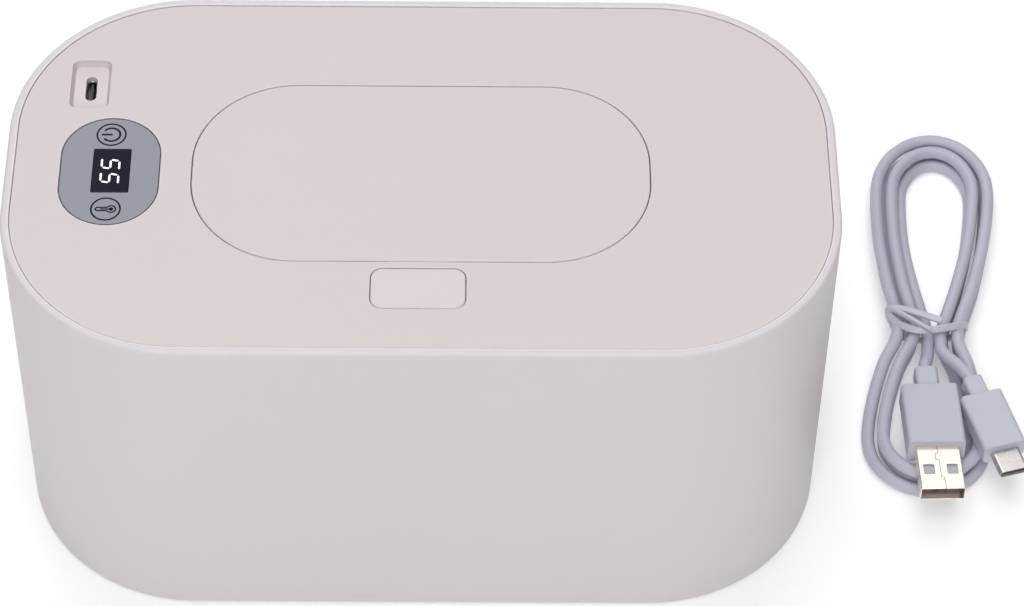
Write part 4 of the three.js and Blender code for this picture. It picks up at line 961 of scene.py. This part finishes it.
HINGE_Z = LID_TOP - HINGE_DEPTH
PIN_HOLE = 0.9
ARM_X = 20.0
ARM_HALF = 3.0
BUTTON_SIZE = (11.7, 6.35, 3.0)
BUTTON_TO_FLAP = 2.35
BUTTON_CENTRE = (-0.6, FLAP_FRONT - BUTTON_TO_FLAP - BUTTON_SIZE[1])
BUTTON_GAP = 0.16
POCKET_SIZE = (4.3, 7.6, 1.4)
POCKET_CENTRE = (-85.5, 29.25)
POCKET_FLOOR = LID_TOP - 2.2
POCKET_UNDER = POCKET_FLOOR - 1.6
POCKET_SLOPE = 0.8
POCKET_EASE = 0.15
POCKET_LIP = 0.3
POCKET_FOOT = [(0.25, 0.0), (0.07, 0.07), (-0.05, 0.25)]
POCKET_WALL = 1.4
PORT_SIZE = (1.45, 4.2, 1.45)
PORT_Y = POCKET_CENTRE[1] + 0.3
PANEL_CENTRE = (-78.65, -0.6)
PANEL_SIZE = (12.5, 17.9, 12.5)
PANEL_SUNK = 0.1
PANEL_FILM = 0.5
PANEL_GAP = 0.15
WINDOW_HALF = (4.65, 7.25)
WINDOW_CENTRE = (PANEL_CENTRE[0] + 0.35, PANEL_CENTRE[1] + 0.14)
WINDOW_STEP = 1.0
WINDOW_SEAT_CORNER = 1.3
WINDOW_SEAT_DEPTH = 0.5
CUT_BELOW_FILM = 0.3
JOIN_DEPTH = 0.5
BOSS_RADIUS = 3.0
BOSS_CLEAR = 0.3
SCREW_HOLE_RADIUS = 1.6
SCREW_HOLE_DEPTH = 9.0
ARM_ROOM = 0.6
SLOT_FORWARD = 8.95
HOOK_ROOM_HALF = 5.6
HOOK_ROOM_FRONT = 0.45
HOOK_ROOM_REAR = 3.6
SKIRT_EDGE = 0.2
SCREW_PLACES = [(sx * 55.0, sy * 50.9) for sx, sy in ((1, 1), (-1, 1), (-1, -1), (1, -1))]
FRAME_RIM_TOP = LID_BOTTOM + 3.6


def grown(size, grow):
    """Half width, half depth and corner radius of a rounded rectangle, each made larger"""
    return [length + grow for length in size]


def opening_cutter(half_x, half_y, radius, centre, low, steps, fillet=OPENING_FILLET):
    """Cutter for an opening in the lid's top whose upper edge is rounded"""
    profile = [
        (0.0, low),
        *arc(-fillet, LID_TOP - fillet, fillet, 0, 90, 4),
        (-fillet, LID_TOP + OVERRUN),
    ]
    return inset_mesh(half_x, half_y, radius, profile, centre, steps)


cover_profile = [
    *arc(LID_INSET + LID_FILLET, LID_TOP - LID_FILLET, LID_FILLET, 90, 180, 5),
    (LID_INSET, LID_TOP - LID_STEP_DOWN),
    (LID_INSET - LID_STEP_OUT, LID_TOP - LID_STEP_DOWN),
    (LID_INSET - LID_STEP_OUT, LID_BOTTOM + SKIRT_EDGE),
    (LID_INSET + SKIRT_EDGE, LID_BOTTOM),
    (LID_INSET + LID_SKIRT, LID_BOTTOM),
    (LID_INSET + LID_SKIRT, PLATE_UNDER),
]
cover_mesh = joined(
    inset_mesh(*TUB_SIZE, cover_profile, steps=CORNER_STEPS),
    prism(outline(*grown(FLAP_SIZE, FLAP_GAP + WELL_WALL), FLAP_CENTRE, FLAP_STEPS), WELL_BOTTOM,
          PLATE_UNDER + JOIN_DEPTH),
    prism(outline(*grown(POCKET_SIZE, POCKET_WALL), POCKET_CENTRE), POCKET_UNDER,
          PLATE_UNDER + JOIN_DEPTH),
    *[disc(BOSS_RADIUS, place, FRAME_RIM_TOP + BOSS_CLEAR, PLATE_UNDER + JOIN_DEPTH, 32)
      for place in SCREW_PLACES],
)
slot_boxes = [
    block(
        (side * ARM_X - ARM_HALF - ARM_ROOM, HINGE_Y - SLOT_FORWARD, WELL_BOTTOM - OVERRUN),
        (side * ARM_X + ARM_HALF + ARM_ROOM, FLAP_REAR + FLAP_GAP + WELL_WALL + OVERRUN, PLATE_UNDER),
    )
    for side in (-1, 1)
]
pocket_edge = -POCKET_SLOPE - POCKET_EASE
pocket_profile = [
    *[(inset, POCKET_FLOOR + rise) for inset, rise in POCKET_FOOT],
    *arc(pocket_edge, LID_TOP - POCKET_LIP, POCKET_LIP, -20, 90, 5),
    (pocket_edge, LID_TOP + OVERRUN),
]
cover_mesh = cut(
    cover_mesh,
    opening_cutter(*grown(FLAP_SIZE, SEEN_GAP), FLAP_CENTRE, WELL_FLOOR, FLAP_STEPS),
    inset_mesh(*POCKET_SIZE, pocket_profile, POCKET_CENTRE, 8),
    *slot_boxes,
    prism(outline(*THROAT_SIZE, FLAP_CENTRE, 20), WELL_BOTTOM - OVERRUN, WELL_FLOOR + OVERRUN),
    block((BUTTON_CENTRE[0] - HOOK_ROOM_HALF, FLAP_FRONT - HOOK_ROOM_FRONT, WELL_BOTTOM - OVERRUN),
          (BUTTON_CENTRE[0] + HOOK_ROOM_HALF, FLAP_FRONT + HOOK_ROOM_REAR, WELL_FLOOR + OVERRUN)),
    opening_cutter(*grown(BUTTON_SIZE, BUTTON_GAP), BUTTON_CENTRE, PLATE_UNDER - OVERRUN, 10,
                   BUTTON_OPENING_FILLET),
    opening_cutter(*grown(PANEL_SIZE, PANEL_GAP), PANEL_CENTRE,
                   LID_TOP - PANEL_SUNK - PANEL_FILM - CUT_BELOW_FILM, 32, PANEL_BED_FILLET),
    prism(outline(WINDOW_HALF[0] + WINDOW_STEP, WINDOW_HALF[1] + WINDOW_STEP, WINDOW_SEAT_CORNER,
                  WINDOW_CENTRE), PLATE_UNDER - OVERRUN, LID_TOP - WINDOW_SEAT_DEPTH),
    prism(outline(*PORT_SIZE, (POCKET_CENTRE[0], PORT_Y), 10), POCKET_UNDER - OVERRUN,
          POCKET_FLOOR + OVERRUN),
    *[disc(SCREW_HOLE_RADIUS, place, FRAME_RIM_TOP - OVERRUN, FRAME_RIM_TOP + SCREW_HOLE_DEPTH, 24)
      for place in SCREW_PLACES],
)
EAR_SHIFT = 4.85
EAR_HALF = 1.5
EAR_LINE = (
    (-1.9, 2.1), (-1.9, -0.9), (-1.6, -1.6), (-0.9, -1.9), (0.9, -1.9), (1.6, -1.6), (1.9, -0.9), (1.9, 2.1),
)
EAR_SPANS = [
    (side * ARM_X + end * EAR_SHIFT - EAR_HALF, side * ARM_X + end * EAR_SHIFT + EAR_HALF)
    for side in (-1, 1) for end in (-1, 1)
]


def level_prism(points, low, high, y=0.0, z=0.0):
    """Prism along X on an outline of (y, z) pairs"""
    return ring_mesh([[Vector((x, y + across, z + up)) for across, up in points] for x in (low, high)])


def rod(radius, low, high, sides=28):
    """Round bar along the hinge's axis"""
    return level_prism(circle(radius, sides), low, high, HINGE_Y, HINGE_Z)


cover_mesh = cut(
    joined(cover_mesh, *[level_prism(EAR_LINE, *span, HINGE_Y, HINGE_Z) for span in EAR_SPANS]),
    *[rod(PIN_HOLE, low - OVERRUN, high + OVERRUN) for low, high in EAR_SPANS],
)
cover = placed("lid_cover_moulding", cover_mesh, shell_plastic)
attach(cover, "lid")
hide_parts("lid_cover")


# Flap: a flush door of the same plastic with a rounded edge, undercut so that it clears the opening as it
# tips back on two bent arms. Its underside is recessed, and a hook at the front reaches for the latch.
FLAP_BOTTOM = LID_TOP - 3.0
FLAP_UNDERCUT = 1.8
FLAP_FILLET = 0.4
FILLET_ROOT = 0.02
EDGE_FROM_AXIS = 4.25
OPEN_ANGLE = math.radians(95.0)
ARM_CLEAR = 0.4
ARM_THICKNESS = 2.1
STEM_REAR = 1.0
ARM_CORNER = 1.2
BARREL_RADIUS = HINGE_DEPTH - LID_PLATE - ARM_CLEAR
arm_inner = math.hypot(EDGE_FROM_AXIS, HINGE_DEPTH) + ARM_CLEAR
arm_outer = arm_inner + ARM_THICKNESS
lip_top_z = -EDGE_FROM_AXIS * math.sin(OPEN_ANGLE) + HINGE_DEPTH * math.cos(OPEN_ANGLE)
lip_under_y = -EDGE_FROM_AXIS * math.cos(OPEN_ANGLE) - LID_PLATE * math.sin(OPEN_ANGLE)
arm_mouth = lip_top_z - ARM_CLEAR
arm_foot = arm_mouth - ARM_THICKNESS
ARM_TOP = 2.0
inner_end = math.degrees(math.asin(-arm_mouth / arm_inner))
outer_end = math.degrees(math.asin(-arm_foot / arm_outer))
arm_line = [
    (-math.sqrt(arm_inner**2 - ARM_TOP**2), ARM_TOP),
    *arc(0.0, 0.0, arm_inner, 180, 180 + inner_end, 14),
    (lip_under_y + ARM_CLEAR, arm_mouth),
    (lip_under_y + ARM_CLEAR, 0.0),
    (STEM_REAR, 0.0),
    *arc(STEM_REAR - ARM_CORNER, arm_foot + ARM_CORNER, ARM_CORNER, 0, -90, 5),
    *arc(0.0, 0.0, arm_outer, 180 + outer_end, 180, 14),
    (-math.sqrt(arm_outer**2 - ARM_TOP**2), ARM_TOP),
]
flap_profile = [
    (FLAP_UNDERCUT, FLAP_BOTTOM),
    (0.0, LID_TOP - FLAP_FILLET - FILLET_ROOT),
    *arc(FLAP_FILLET, LID_TOP - FLAP_FILLET, FLAP_FILLET, 180, 90, 5),
]
TAB_HALF = 7.5
TAB_FRONT = 0.3
TAB_REAR = 4.0
RECESS_SIZE = (FLAP_HALF_X - 4.0, FLAP_HALF_Y - 6.6, FLAP_RADIUS - 6.6)
RECESS_PROFILE = [(0.0, FLAP_BOTTOM - OVERRUN), (0.0, LID_TOP - 2.0), (0.4, LID_TOP - 1.6)]
HOOK_HALF = 5.0
HOOK_X = (BUTTON_CENTRE[0] - HOOK_HALF, BUTTON_CENTRE[0] + HOOK_HALF)
HOOK_TOP = FLAP_BOTTOM + 0.3
TOOTH_LOW = 93.8
TOOTH_TOP = 94.8
HOOK_LINE = [
    (1.5, HOOK_TOP), (1.5, TOOTH_TOP + 0.2), (1.3, TOOTH_TOP), (0.7, TOOTH_TOP), (0.5, TOOTH_TOP - 0.2),
    (0.5, TOOTH_LOW + 0.4), (0.9, TOOTH_LOW), (2.9, TOOTH_LOW), (2.9, HOOK_TOP),
]
flap_plate = cut(
    joined(
        inset_mesh(*FLAP_SIZE, flap_profile, FLAP_CENTRE, FLAP_STEPS),
        block((BUTTON_CENTRE[0] - TAB_HALF, FLAP_FRONT - TAB_FRONT, FLAP_BOTTOM),
              (BUTTON_CENTRE[0] + TAB_HALF, FLAP_FRONT + TAB_REAR, LID_TOP - FLAP_FILLET)),
    ),
    inset_mesh(*RECESS_SIZE, RECESS_PROFILE, FLAP_CENTRE, 16),
)
arm_spans = [(side * ARM_X - ARM_HALF, side * ARM_X + ARM_HALF) for side in (-1, 1)]
flap_mesh = cut(
    joined(
        flap_plate,
        *[level_prism(arm_line, *span, HINGE_Y, HINGE_Z) for span in arm_spans],
        *[rod(BARREL_RADIUS, *span) for span in arm_spans],
        level_prism(HOOK_LINE, *HOOK_X, FLAP_FRONT),
    ),
    *[rod(PIN_HOLE, low - OVERRUN, high + OVERRUN) for low, high in arm_spans],
)
flap = placed("flap_door", flap_mesh, shell_plastic)
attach(flap, "flap")
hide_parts("flap")


# Push button: a shallow cap flush with the lid, moulded in the same plastic with a softly rounded edge.
# Flanges under the lid keep it in, and two wedge legs drive the latch.
button_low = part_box("push_button")[0] / MM
BUTTON_BOTTOM = LID_TOP - 4.3
BUTTON_FILLET = 0.5
BUTTON_WALL = 1.2
BUTTON_PLATE = 1.6
BUTTON_BEVEL = 0.25
FLANGE_TOP = PLATE_UNDER - 0.3
FLANGE_OUT = 1.2
FLANGE_HALF = 3.0
FLANGE_THICKNESS = 1.0
LEG_DEPTH = 4.5
LEG_JOIN = 0.3
LEG_SPANS = ((-7.4, -5.4), (5.4, 7.4))
leg_rear = BUTTON_CENTRE[1] + 3.0
leg_front = leg_rear - LEG_DEPTH
leg_top = LID_TOP - BUTTON_PLATE + LEG_JOIN
leg_tip = button_low.z
button_profile = [
    (BUTTON_BEVEL, BUTTON_BOTTOM), (0.0, BUTTON_BOTTOM + BUTTON_BEVEL),
    *arc(BUTTON_FILLET, LID_TOP - BUTTON_FILLET, BUTTON_FILLET, 180, 90, 6),
]
leg_line = [
    (leg_rear, leg_tip), (leg_rear, leg_top), (leg_front, leg_top), (leg_front, leg_tip + LEG_DEPTH),
]
CUP_PROFILE = [(BUTTON_WALL, BUTTON_BOTTOM - OVERRUN), (BUTTON_WALL, LID_TOP - BUTTON_PLATE)]
flange_reach = BUTTON_SIZE[0] + BUTTON_GAP + FLANGE_OUT
button_mesh = joined(
    cut(
        joined(
            inset_mesh(*BUTTON_SIZE, button_profile, BUTTON_CENTRE, 12),
            block((BUTTON_CENTRE[0] - flange_reach, BUTTON_CENTRE[1] - FLANGE_HALF,
                   FLANGE_TOP - FLANGE_THICKNESS),
                  (BUTTON_CENTRE[0] + flange_reach, BUTTON_CENTRE[1] + FLANGE_HALF, FLANGE_TOP)),
        ),
        inset_mesh(*BUTTON_SIZE, CUP_PROFILE, BUTTON_CENTRE, 12),
    ),
    *[level_prism(leg_line, BUTTON_CENTRE[0] + low, BUTTON_CENTRE[0] + high) for low, high in LEG_SPANS],
)
# Its edge colour is a painted highlight along the cap's rounded edge.
button_plastic = finish_of(
    "button_plastic", dark=(0.64, 0.575, 0.58), light=(0.67, 0.615, 0.618), gloss=(0.44, 0.58),
    grain=3200.0, mottle=9.0, depth=0.00001, strength=0.25,
    edge=(0.86, 0.81, 0.805), edge_radius=0.0006, edge_amount=6.0,
)
button = placed("push_button_cap", button_mesh, button_plastic)
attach(button, "button")
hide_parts("push_button")


# Control panel: a grey printed film of thin plastic, glued in its shallow bed in the lid. An opening is cut
# in it for the display's window, and the touch fields lie under its two ends.
film_top = LID_TOP - PANEL_SUNK
film_low = film_top - PANEL_FILM
FILM_EDGE = 0.08
PANE_GAP = 0.15
PANE_HOLE_CORNER = 0.45
film_profile = [(0.0, film_low), *arc(FILM_EDGE, film_top - FILM_EDGE, FILM_EDGE, 180, 90, 3)]
film_mesh = cut(
    inset_mesh(*PANEL_SIZE, film_profile, PANEL_CENTRE, 40),
    prism(outline(WINDOW_HALF[0] + PANE_GAP, WINDOW_HALF[1] + PANE_GAP, PANE_HOLE_CORNER, WINDOW_CENTRE, 4),
          film_low - OVERRUN, film_top + OVERRUN),
)
film_finish = finish_of(
    "panel_film", dark=(0.25, 0.258, 0.302), light=(0.272, 0.28, 0.325), gloss=(0.3, 0.42),
    grain=4000.0, mottle=60.0, depth=0.000005, strength=0.15,
)
film = placed("control_panel_print", film_mesh, film_finish)
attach(film, "lid")
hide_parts("control_panel_film")


# Display window: a small pane of dark clear plastic that fills the film's opening, level with it. Only what
# shines behind the pane shows through.
PANE_EDGE = 0.1
PANE_CORNER = 0.3
window_finish = finish_of(
    "display_window", dark=(0.003, 0.004, 0.014), light=(0.004, 0.006, 0.018), gloss=(0.12, 0.2),
    grain=500.0, mottle=80.0, depth=0.000002, strength=0.05, shine=0.28,
)
window_profile = [(0.0, film_low), *arc(PANE_EDGE, film_top - PANE_EDGE, PANE_EDGE, 180, 90, 3)]
window = placed(
    "display_pane",
    inset_mesh(WINDOW_HALF[0], WINDOW_HALF[1], PANE_CORNER, window_profile, WINDOW_CENTRE, 4),
    window_finish,
)
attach(window, "lid")
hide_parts("display_window")


# Display digits: seven-segment figures that shine white through the dark window. They read from the left,
# so their tops point to the tub's left end, and they lean a little.
DIGIT_TOP_X = -80.78
DIGIT_HEIGHT = 4.43
DIGIT_WIDTH = 2.98
DIGIT_START_Y = (-0.2, -4.92)
DIGIT_STROKE = 0.5
DIGIT_SLANT = 0.19
PRINT = 0.02
INK_DEPTH = 0.05
SEGMENT_GAP = 0.2
LIT_SEGMENTS = ("a", "f", "g", "c", "d")
SEGMENT_ENDS = {
    "a": ((0.0, 1.0), (1.0, 1.0)), "b": ((1.0, 1.0), (1.0, 0.5)), "c": ((1.0, 0.5), (1.0, 0.0)),
    "d": ((0.0, 0.0), (1.0, 0.0)), "e": ((0.0, 0.5), (0.0, 0.0)), "f": ((0.0, 1.0), (0.0, 0.5)),
    "g": ((0.0, 0.5), (1.0, 0.5)),
}


def gather(meshes):
    """One mesh of several"""
    whole = bmesh.new()
    for mesh in meshes:
        whole.from_mesh(mesh)
    return mesh_of(whole)


def segment_mesh(name, start_y, low, high):
    """One bar of a figure, pointed at both ends, laid on the window"""
    ends = []
    for across, rise in SEGMENT_ENDS[name]:
        ends.append(Vector((
            DIGIT_TOP_X + DIGIT_HEIGHT * (1 - rise),
            start_y + DIGIT_WIDTH * across + DIGIT_SLANT * DIGIT_HEIGHT * rise,
        )))
    along = (ends[1] - ends[0]).normalized()
    side = Vector((-along.y, along.x)) * DIGIT_STROKE / 2
    start, end = ends[0] + along * SEGMENT_GAP, ends[1] - along * SEGMENT_GAP
    shoulder = along * DIGIT_STROKE / 2
    points = [start, start + shoulder - side, end - shoulder - side, end, end - shoulder + side,
              start + shoulder + side]
    return prism([tuple(p) for p in points], low, high)


digit_finish = finish_of(
    "display_glow", dark=(0.85, 0.87, 0.9), light=(0.95, 0.96, 0.98), gloss=(0.3, 0.4), mottle=800.0,
    glow=(0.93, 0.96, 1.0), glow_strength=0.55,
)
digits = placed("display_digits", gather([
    segment_mesh(name, start, film_top - INK_DEPTH, film_top + PRINT)
    for start in DIGIT_START_Y for name in LIT_SEGMENTS
]), digit_finish)
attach(digits, "lid")


# Printed signs: a power sign and a thermometer, each in a thin ring, and the line round the print, all in
# dark ink on the film. Each shows where one of the two touch fields is.
POWER_CENTRE = Vector((-78.98, 11.72))
HEAT_CENTRE = Vector((-78.85, -13.32))
RING_RADIUS = 3.62
RING_LINE = 0.46
POWER_ARC_RADIUS = 2.2
POWER_LINE = 0.58
BORDER_LINE = 0.12
BORDER_INSET = 0.12
BORDER_CENTRE = (PANEL_CENTRE[0] + 0.04, PANEL_CENTRE[1] - 0.05)
GAUGE_LINE = 0.4
POWER_OPENING = math.radians(38.0)
ink_low = film_top - INK_DEPTH
ink_high = film_top + PRINT


def stroke(points, width, closed=False):
    """Flat printed line of even width along points"""
    left, right = [], []
    count = len(points)
    for i, point in enumerate(points):
        before = points[(i - 1) % count] if closed else points[max(i - 1, 0)]
        after = points[(i + 1) % count] if closed else points[min(i + 1, count - 1)]
        along = (after - before).normalized()
        side = Vector((-along.y, along.x)) * width / 2
        left.append(point + side)
        right.append(point - side)
    if closed:
        rings = [
            [Vector((p.x, p.y, z)) for p in loop]
            for loop, z in ((left, ink_low), (left, ink_high), (right, ink_high), (right, ink_low))
        ]
        return ring_mesh(rings, closed=True)
    loop = left + list(reversed(right))
    return prism([tuple(p) for p in loop], ink_low, ink_high)


def circle_points(centre, radius, start, end, count):
    """Points along part of a circle"""
    return [
        centre + Vector((math.cos(a), math.sin(a))) * radius
        for a in (start + (end - start) * i / (count - 1) for i in range(count))
    ]


def ring_stroke(centre, radius, width, count):
    """Closed printed ring"""
    return stroke(circle_points(centre, radius, 0.0, 2 * math.pi * (count - 1) / count, count), width, True)


ink_finish = finish_of(
    "sign_ink", dark=(0.004, 0.005, 0.013), light=(0.007, 0.008, 0.018), gloss=(0.5, 0.65), mottle=700.0,
    shine=0.12,
)
GAUGE_HALF = 0.55
BULB_RADIUS = 1.1
BULB_SHIFT = 1.41
TIP_SHIFT = -1.96
BULB_FILL_RADIUS = 0.28
BULB_FILL_LINE = 0.56
STEM_START = -1.35
STEM_LINE = 0.38
POWER_STEM = ((-2.5, 0.0), (0.25, 0.02))
bulb_centre = HEAT_CENTRE + Vector((BULB_SHIFT, 0.0))
tip_centre = HEAT_CENTRE + Vector((TIP_SHIFT, 0.0))
neck_angle = math.asin(GAUGE_HALF / BULB_RADIUS)
neck_x = -BULB_RADIUS * math.cos(neck_angle)
tube_sides = [
    [tip_centre + Vector((0.0, side * GAUGE_HALF)), bulb_centre + Vector((neck_x, side * GAUGE_HALF))]
    for side in (-1, 1)
]
tube_tip = circle_points(tip_centre, GAUGE_HALF, math.pi / 2, 3 * math.pi / 2, 20)
bulb_line = circle_points(bulb_centre, BULB_RADIUS, neck_angle - math.pi, math.pi - neck_angle, 40)
power_arc = circle_points(
    POWER_CENTRE, POWER_ARC_RADIUS, POWER_OPENING - math.pi, math.pi - POWER_OPENING, 48,
)
border = outline(*grown(PANEL_SIZE, -BORDER_INSET), BORDER_CENTRE, 40)
signs = placed("panel_signs", gather([
    ring_stroke(POWER_CENTRE, RING_RADIUS, RING_LINE, 72),
    ring_stroke(HEAT_CENTRE, RING_RADIUS, RING_LINE, 72),
    stroke(power_arc, POWER_LINE),
    stroke([POWER_CENTRE + Vector(shift) for shift in POWER_STEM], POWER_LINE),
    *[stroke(line, GAUGE_LINE) for line in (*tube_sides, tube_tip, bulb_line)],
    stroke([HEAT_CENTRE + Vector((STEM_START, 0.0)), bulb_centre], STEM_LINE),
    ring_stroke(bulb_centre, BULB_FILL_RADIUS, BULB_FILL_LINE, 24),
    stroke([Vector(point) for point in border], BORDER_LINE, closed=True),
]), ink_finish)
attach(signs, "lid")


# Charging socket: a drawn metal shell on its own small board under the pocket, with the thin black tongue
# that carries its contacts. Only its mouth shows, down in the slot.
socket_low, socket_high = (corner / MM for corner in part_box("socket_shell"))
SOCKET_SIZE = (1.65, 4.47, 1.65)
SOCKET_WALL = 0.3
SOCKET_LIP = 0.1
SOCKET_FLOOR = 1.0
socket_profile = [
    (0.0, socket_low.z), (0.0, socket_high.z - SOCKET_LIP), (SOCKET_LIP, socket_high.z),
    (SOCKET_WALL - SOCKET_LIP, socket_high.z), (SOCKET_WALL, socket_high.z - SOCKET_LIP),
    (SOCKET_WALL, socket_low.z + SOCKET_FLOOR),
]
# Its edge colour is a painted highlight along the shell's rim.
socket_metal = finish_of(
    "socket_metal", dark=(0.5, 0.49, 0.48), light=(0.62, 0.61, 0.6), gloss=(0.2, 0.35),
    grain=900.0, mottle=300.0, stretch=(6.0, 1.0, 1.0), metallic=1.0,
    edge=(0.85, 0.84, 0.82), edge_radius=0.0001, edge_amount=3.0,
)
socket = placed(
    "socket_metal_shell",
    inset_mesh(*SOCKET_SIZE, socket_profile, (POCKET_CENTRE[0], PORT_Y), 12),
    socket_metal,
)
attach(socket, "lid")
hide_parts("socket_shell")


# Flap seal: a soft ring round the throat, pale silicone with rounded shoulders, on which the closed flap
# rests so that the wipes stay moist.
seal_low, seal_high = (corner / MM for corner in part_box("flap_seal"))
SEAL_FROM_THROAT = 1.2
SEAL_WIDTH = 2.2
SEAL_SHOULDER = 0.5
seal_grow = SEAL_FROM_THROAT + SEAL_WIDTH
shoulder_z = seal_high.z - SEAL_SHOULDER
seal_profile = [
    (0.0, seal_low.z),
    *arc(SEAL_SHOULDER, shoulder_z, SEAL_SHOULDER, 180, 90, 4),
    *arc(SEAL_WIDTH - SEAL_SHOULDER, shoulder_z, SEAL_SHOULDER, 90, 0, 4),
    (SEAL_WIDTH, seal_low.z),
]
silicone = finish_of(
    "seal_silicone", dark=(0.72, 0.71, 0.7), light=(0.8, 0.79, 0.78), gloss=(0.35, 0.5),
    grain=1500.0, mottle=90.0, depth=0.00002, strength=0.2,
)
seal = placed(
    "throat_seal",
    inset_mesh(*grown(THROAT_SIZE, seal_grow), seal_profile, FLAP_CENTRE, 24, closed=True),
    silicone,
)
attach(seal, "lid")
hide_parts("flap_seal")


# Inside the lid: what carries over from the frame unchanged, each piece in the finish of its kind. These
# pieces show only with the lid off or the flap up.
slot_finish = {
    "shell_plastic": shell_plastic, "panel_film": film_finish, "display_window": window_finish,
    "plug_metal": plug_metal, "foot_rubber": rubber, "seal_silicone": silicone, "cable_jacket": jacket,
    "inner_plastic": finish_of(
        "inner_plastic", dark=(0.66, 0.63, 0.61), light=(0.71, 0.68, 0.66), gloss=(0.5, 0.65),
        grain=2600.0, mottle=30.0, depth=0.00002, strength=0.3,
    ),
    "black_plastic": finish_of(
        "black_plastic", dark=(0.018, 0.018, 0.02), light=(0.028, 0.028, 0.031), gloss=(0.35, 0.5),
        mottle=90.0,
    ),
    "white_plastic": finish_of(
        "white_plastic", dark=(0.74, 0.73, 0.71), light=(0.8, 0.79, 0.77), gloss=(0.4, 0.55), mottle=70.0,
    ),
    "circuit_board": finish_of(
        "board_mask", dark=(0.015, 0.12, 0.05), light=(0.025, 0.17, 0.075), gloss=(0.3, 0.42),
        grain=1600.0, mottle=500.0, depth=0.00002, strength=0.4,
    ),
    "steel": finish_of(
        "bright_steel", dark=(0.5, 0.49, 0.47), light=(0.62, 0.61, 0.59), gloss=(0.22, 0.38),
        grain=700.0, mottle=250.0, stretch=(1.0, 1.0, 8.0), metallic=1.0,
        edge=(0.8, 0.79, 0.77), edge_radius=0.0001, edge_amount=2.5,
    ),
    "plate_aluminium": finish_of(
        "heating_plate_aluminium", dark=(0.6, 0.6, 0.61), light=(0.68, 0.68, 0.69), gloss=(0.3, 0.45),
        grain=500.0, mottle=40.0, stretch=(1.0, 14.0, 1.0), depth=0.00001, strength=0.2, metallic=1.0,
    ),
    "heater_film": finish_of(
        "heater_film_amber", dark=(0.42, 0.16, 0.02), light=(0.52, 0.22, 0.035), gloss=(0.2, 0.3),
        mottle=120.0,
    ),
    "insulation_felt": finish_of(
        "insulation_felt", dark=(0.07, 0.072, 0.078), light=(0.13, 0.132, 0.14), gloss=(0.85, 0.98),
        grain=900.0, mottle=700.0, depth=0.0002, strength=0.7,
    ),
    "lead_red": finish_of(
        "lead_red", dark=(0.38, 0.02, 0.015), light=(0.48, 0.035, 0.025), gloss=(0.35, 0.5), mottle=300.0,
    ),
    "lead_white": finish_of(
        "lead_white", dark=(0.7, 0.69, 0.66), light=(0.78, 0.77, 0.74), gloss=(0.35, 0.5), mottle=300.0,
    ),
}
for row in frame["record"]["subparts"]:
    node = frame["nodes"][row["node"]]
    node.data.materials.clear()
    node.data.materials.append(slot_finish[row["material_slot"]])


# Room: a plain pale floor, and three large soft lights: one overhead, one in front and one behind. The
# surroundings are dimmer at both sides, so that the tub's rounded ends fall darker than its front.
FLOOR_SIZE = 6.0
floor_mesh = bpy.data.meshes.new("floor")
floor_corners = [(x * FLOOR_SIZE, y * FLOOR_SIZE, 0.0) for x, y in ((-1, -1), (1, -1), (1, 1), (-1, 1))]
floor_mesh.from_pydata(floor_corners, [], [(0, 1, 2, 3)])
floor = new_object("floor", floor_mesh)
floor_mesh.materials.append(finish_of(
    "pale_floor", dark=(0.88, 0.88, 0.88), light=(0.9, 0.9, 0.9), gloss=(0.8, 0.9), mottle=4.0, strength=0.0,
    glow=(1.0, 1.0, 1.0), glow_strength=0.19,
))
world = bpy.data.worlds.new("room")
world.use_nodes = True
sky = world.node_tree
backdrop = sky.nodes["Background"]
backdrop.inputs["Color"].default_value = (0.95, 0.97, 1.0, 1.0)
direction = add_node(sky, "ShaderNodeTexCoord")
parts = add_node(sky, "ShaderNodeSeparateXYZ", links={"Vector": direction.outputs["Generated"]})
sideways = add_math(sky, "ABSOLUTE", links={0: parts.outputs["X"]})
dimmed = add_node(
    sky, "ShaderNodeMapRange", {"interpolation_type": "SMOOTHSTEP"},
    values={"From Min": 0.15, "From Max": 0.75, "To Min": 0.44, "To Max": 0.03},
    links={"Value": sideways},
)
sky.links.new(dimmed.outputs["Result"], backdrop.inputs["Strength"])
bpy.context.scene.world = world
bpy.context.scene.view_settings.view_transform = "Standard"
for name, place, aim, size, power, colour in (
    ("overhead_softbox", (-0.1, 0.05, 1.55), (-0.1, 0.05, 0.05), (1.4, 2.0), 16.6, (1.0, 0.987, 0.98)),
    ("key", (-0.12, -1.4, 1.12), (0.0, 0.0, 0.05), (0.8, 0.9), 10.6, (1.0, 0.985, 0.97)),
    ("back_softbox", (0.1, 1.7, 1.05), (0.1, 0.0, 0.05), (2.2, 1.05), 9.0, (1.0, 0.99, 0.985)),
):
    lamp_data = bpy.data.lights.new(name, "AREA")
    lamp_data.shape = "RECTANGLE"
    lamp_data.size = size[0]
    lamp_data.size_y = size[1]
    lamp_data.energy = power
    lamp_data.color = colour
    lamp = new_object(name, lamp_data)
    lamp.location = place
    lamp.rotation_euler = (Vector(place) - Vector(aim)).to_track_quat("Z", "Y").to_euler()
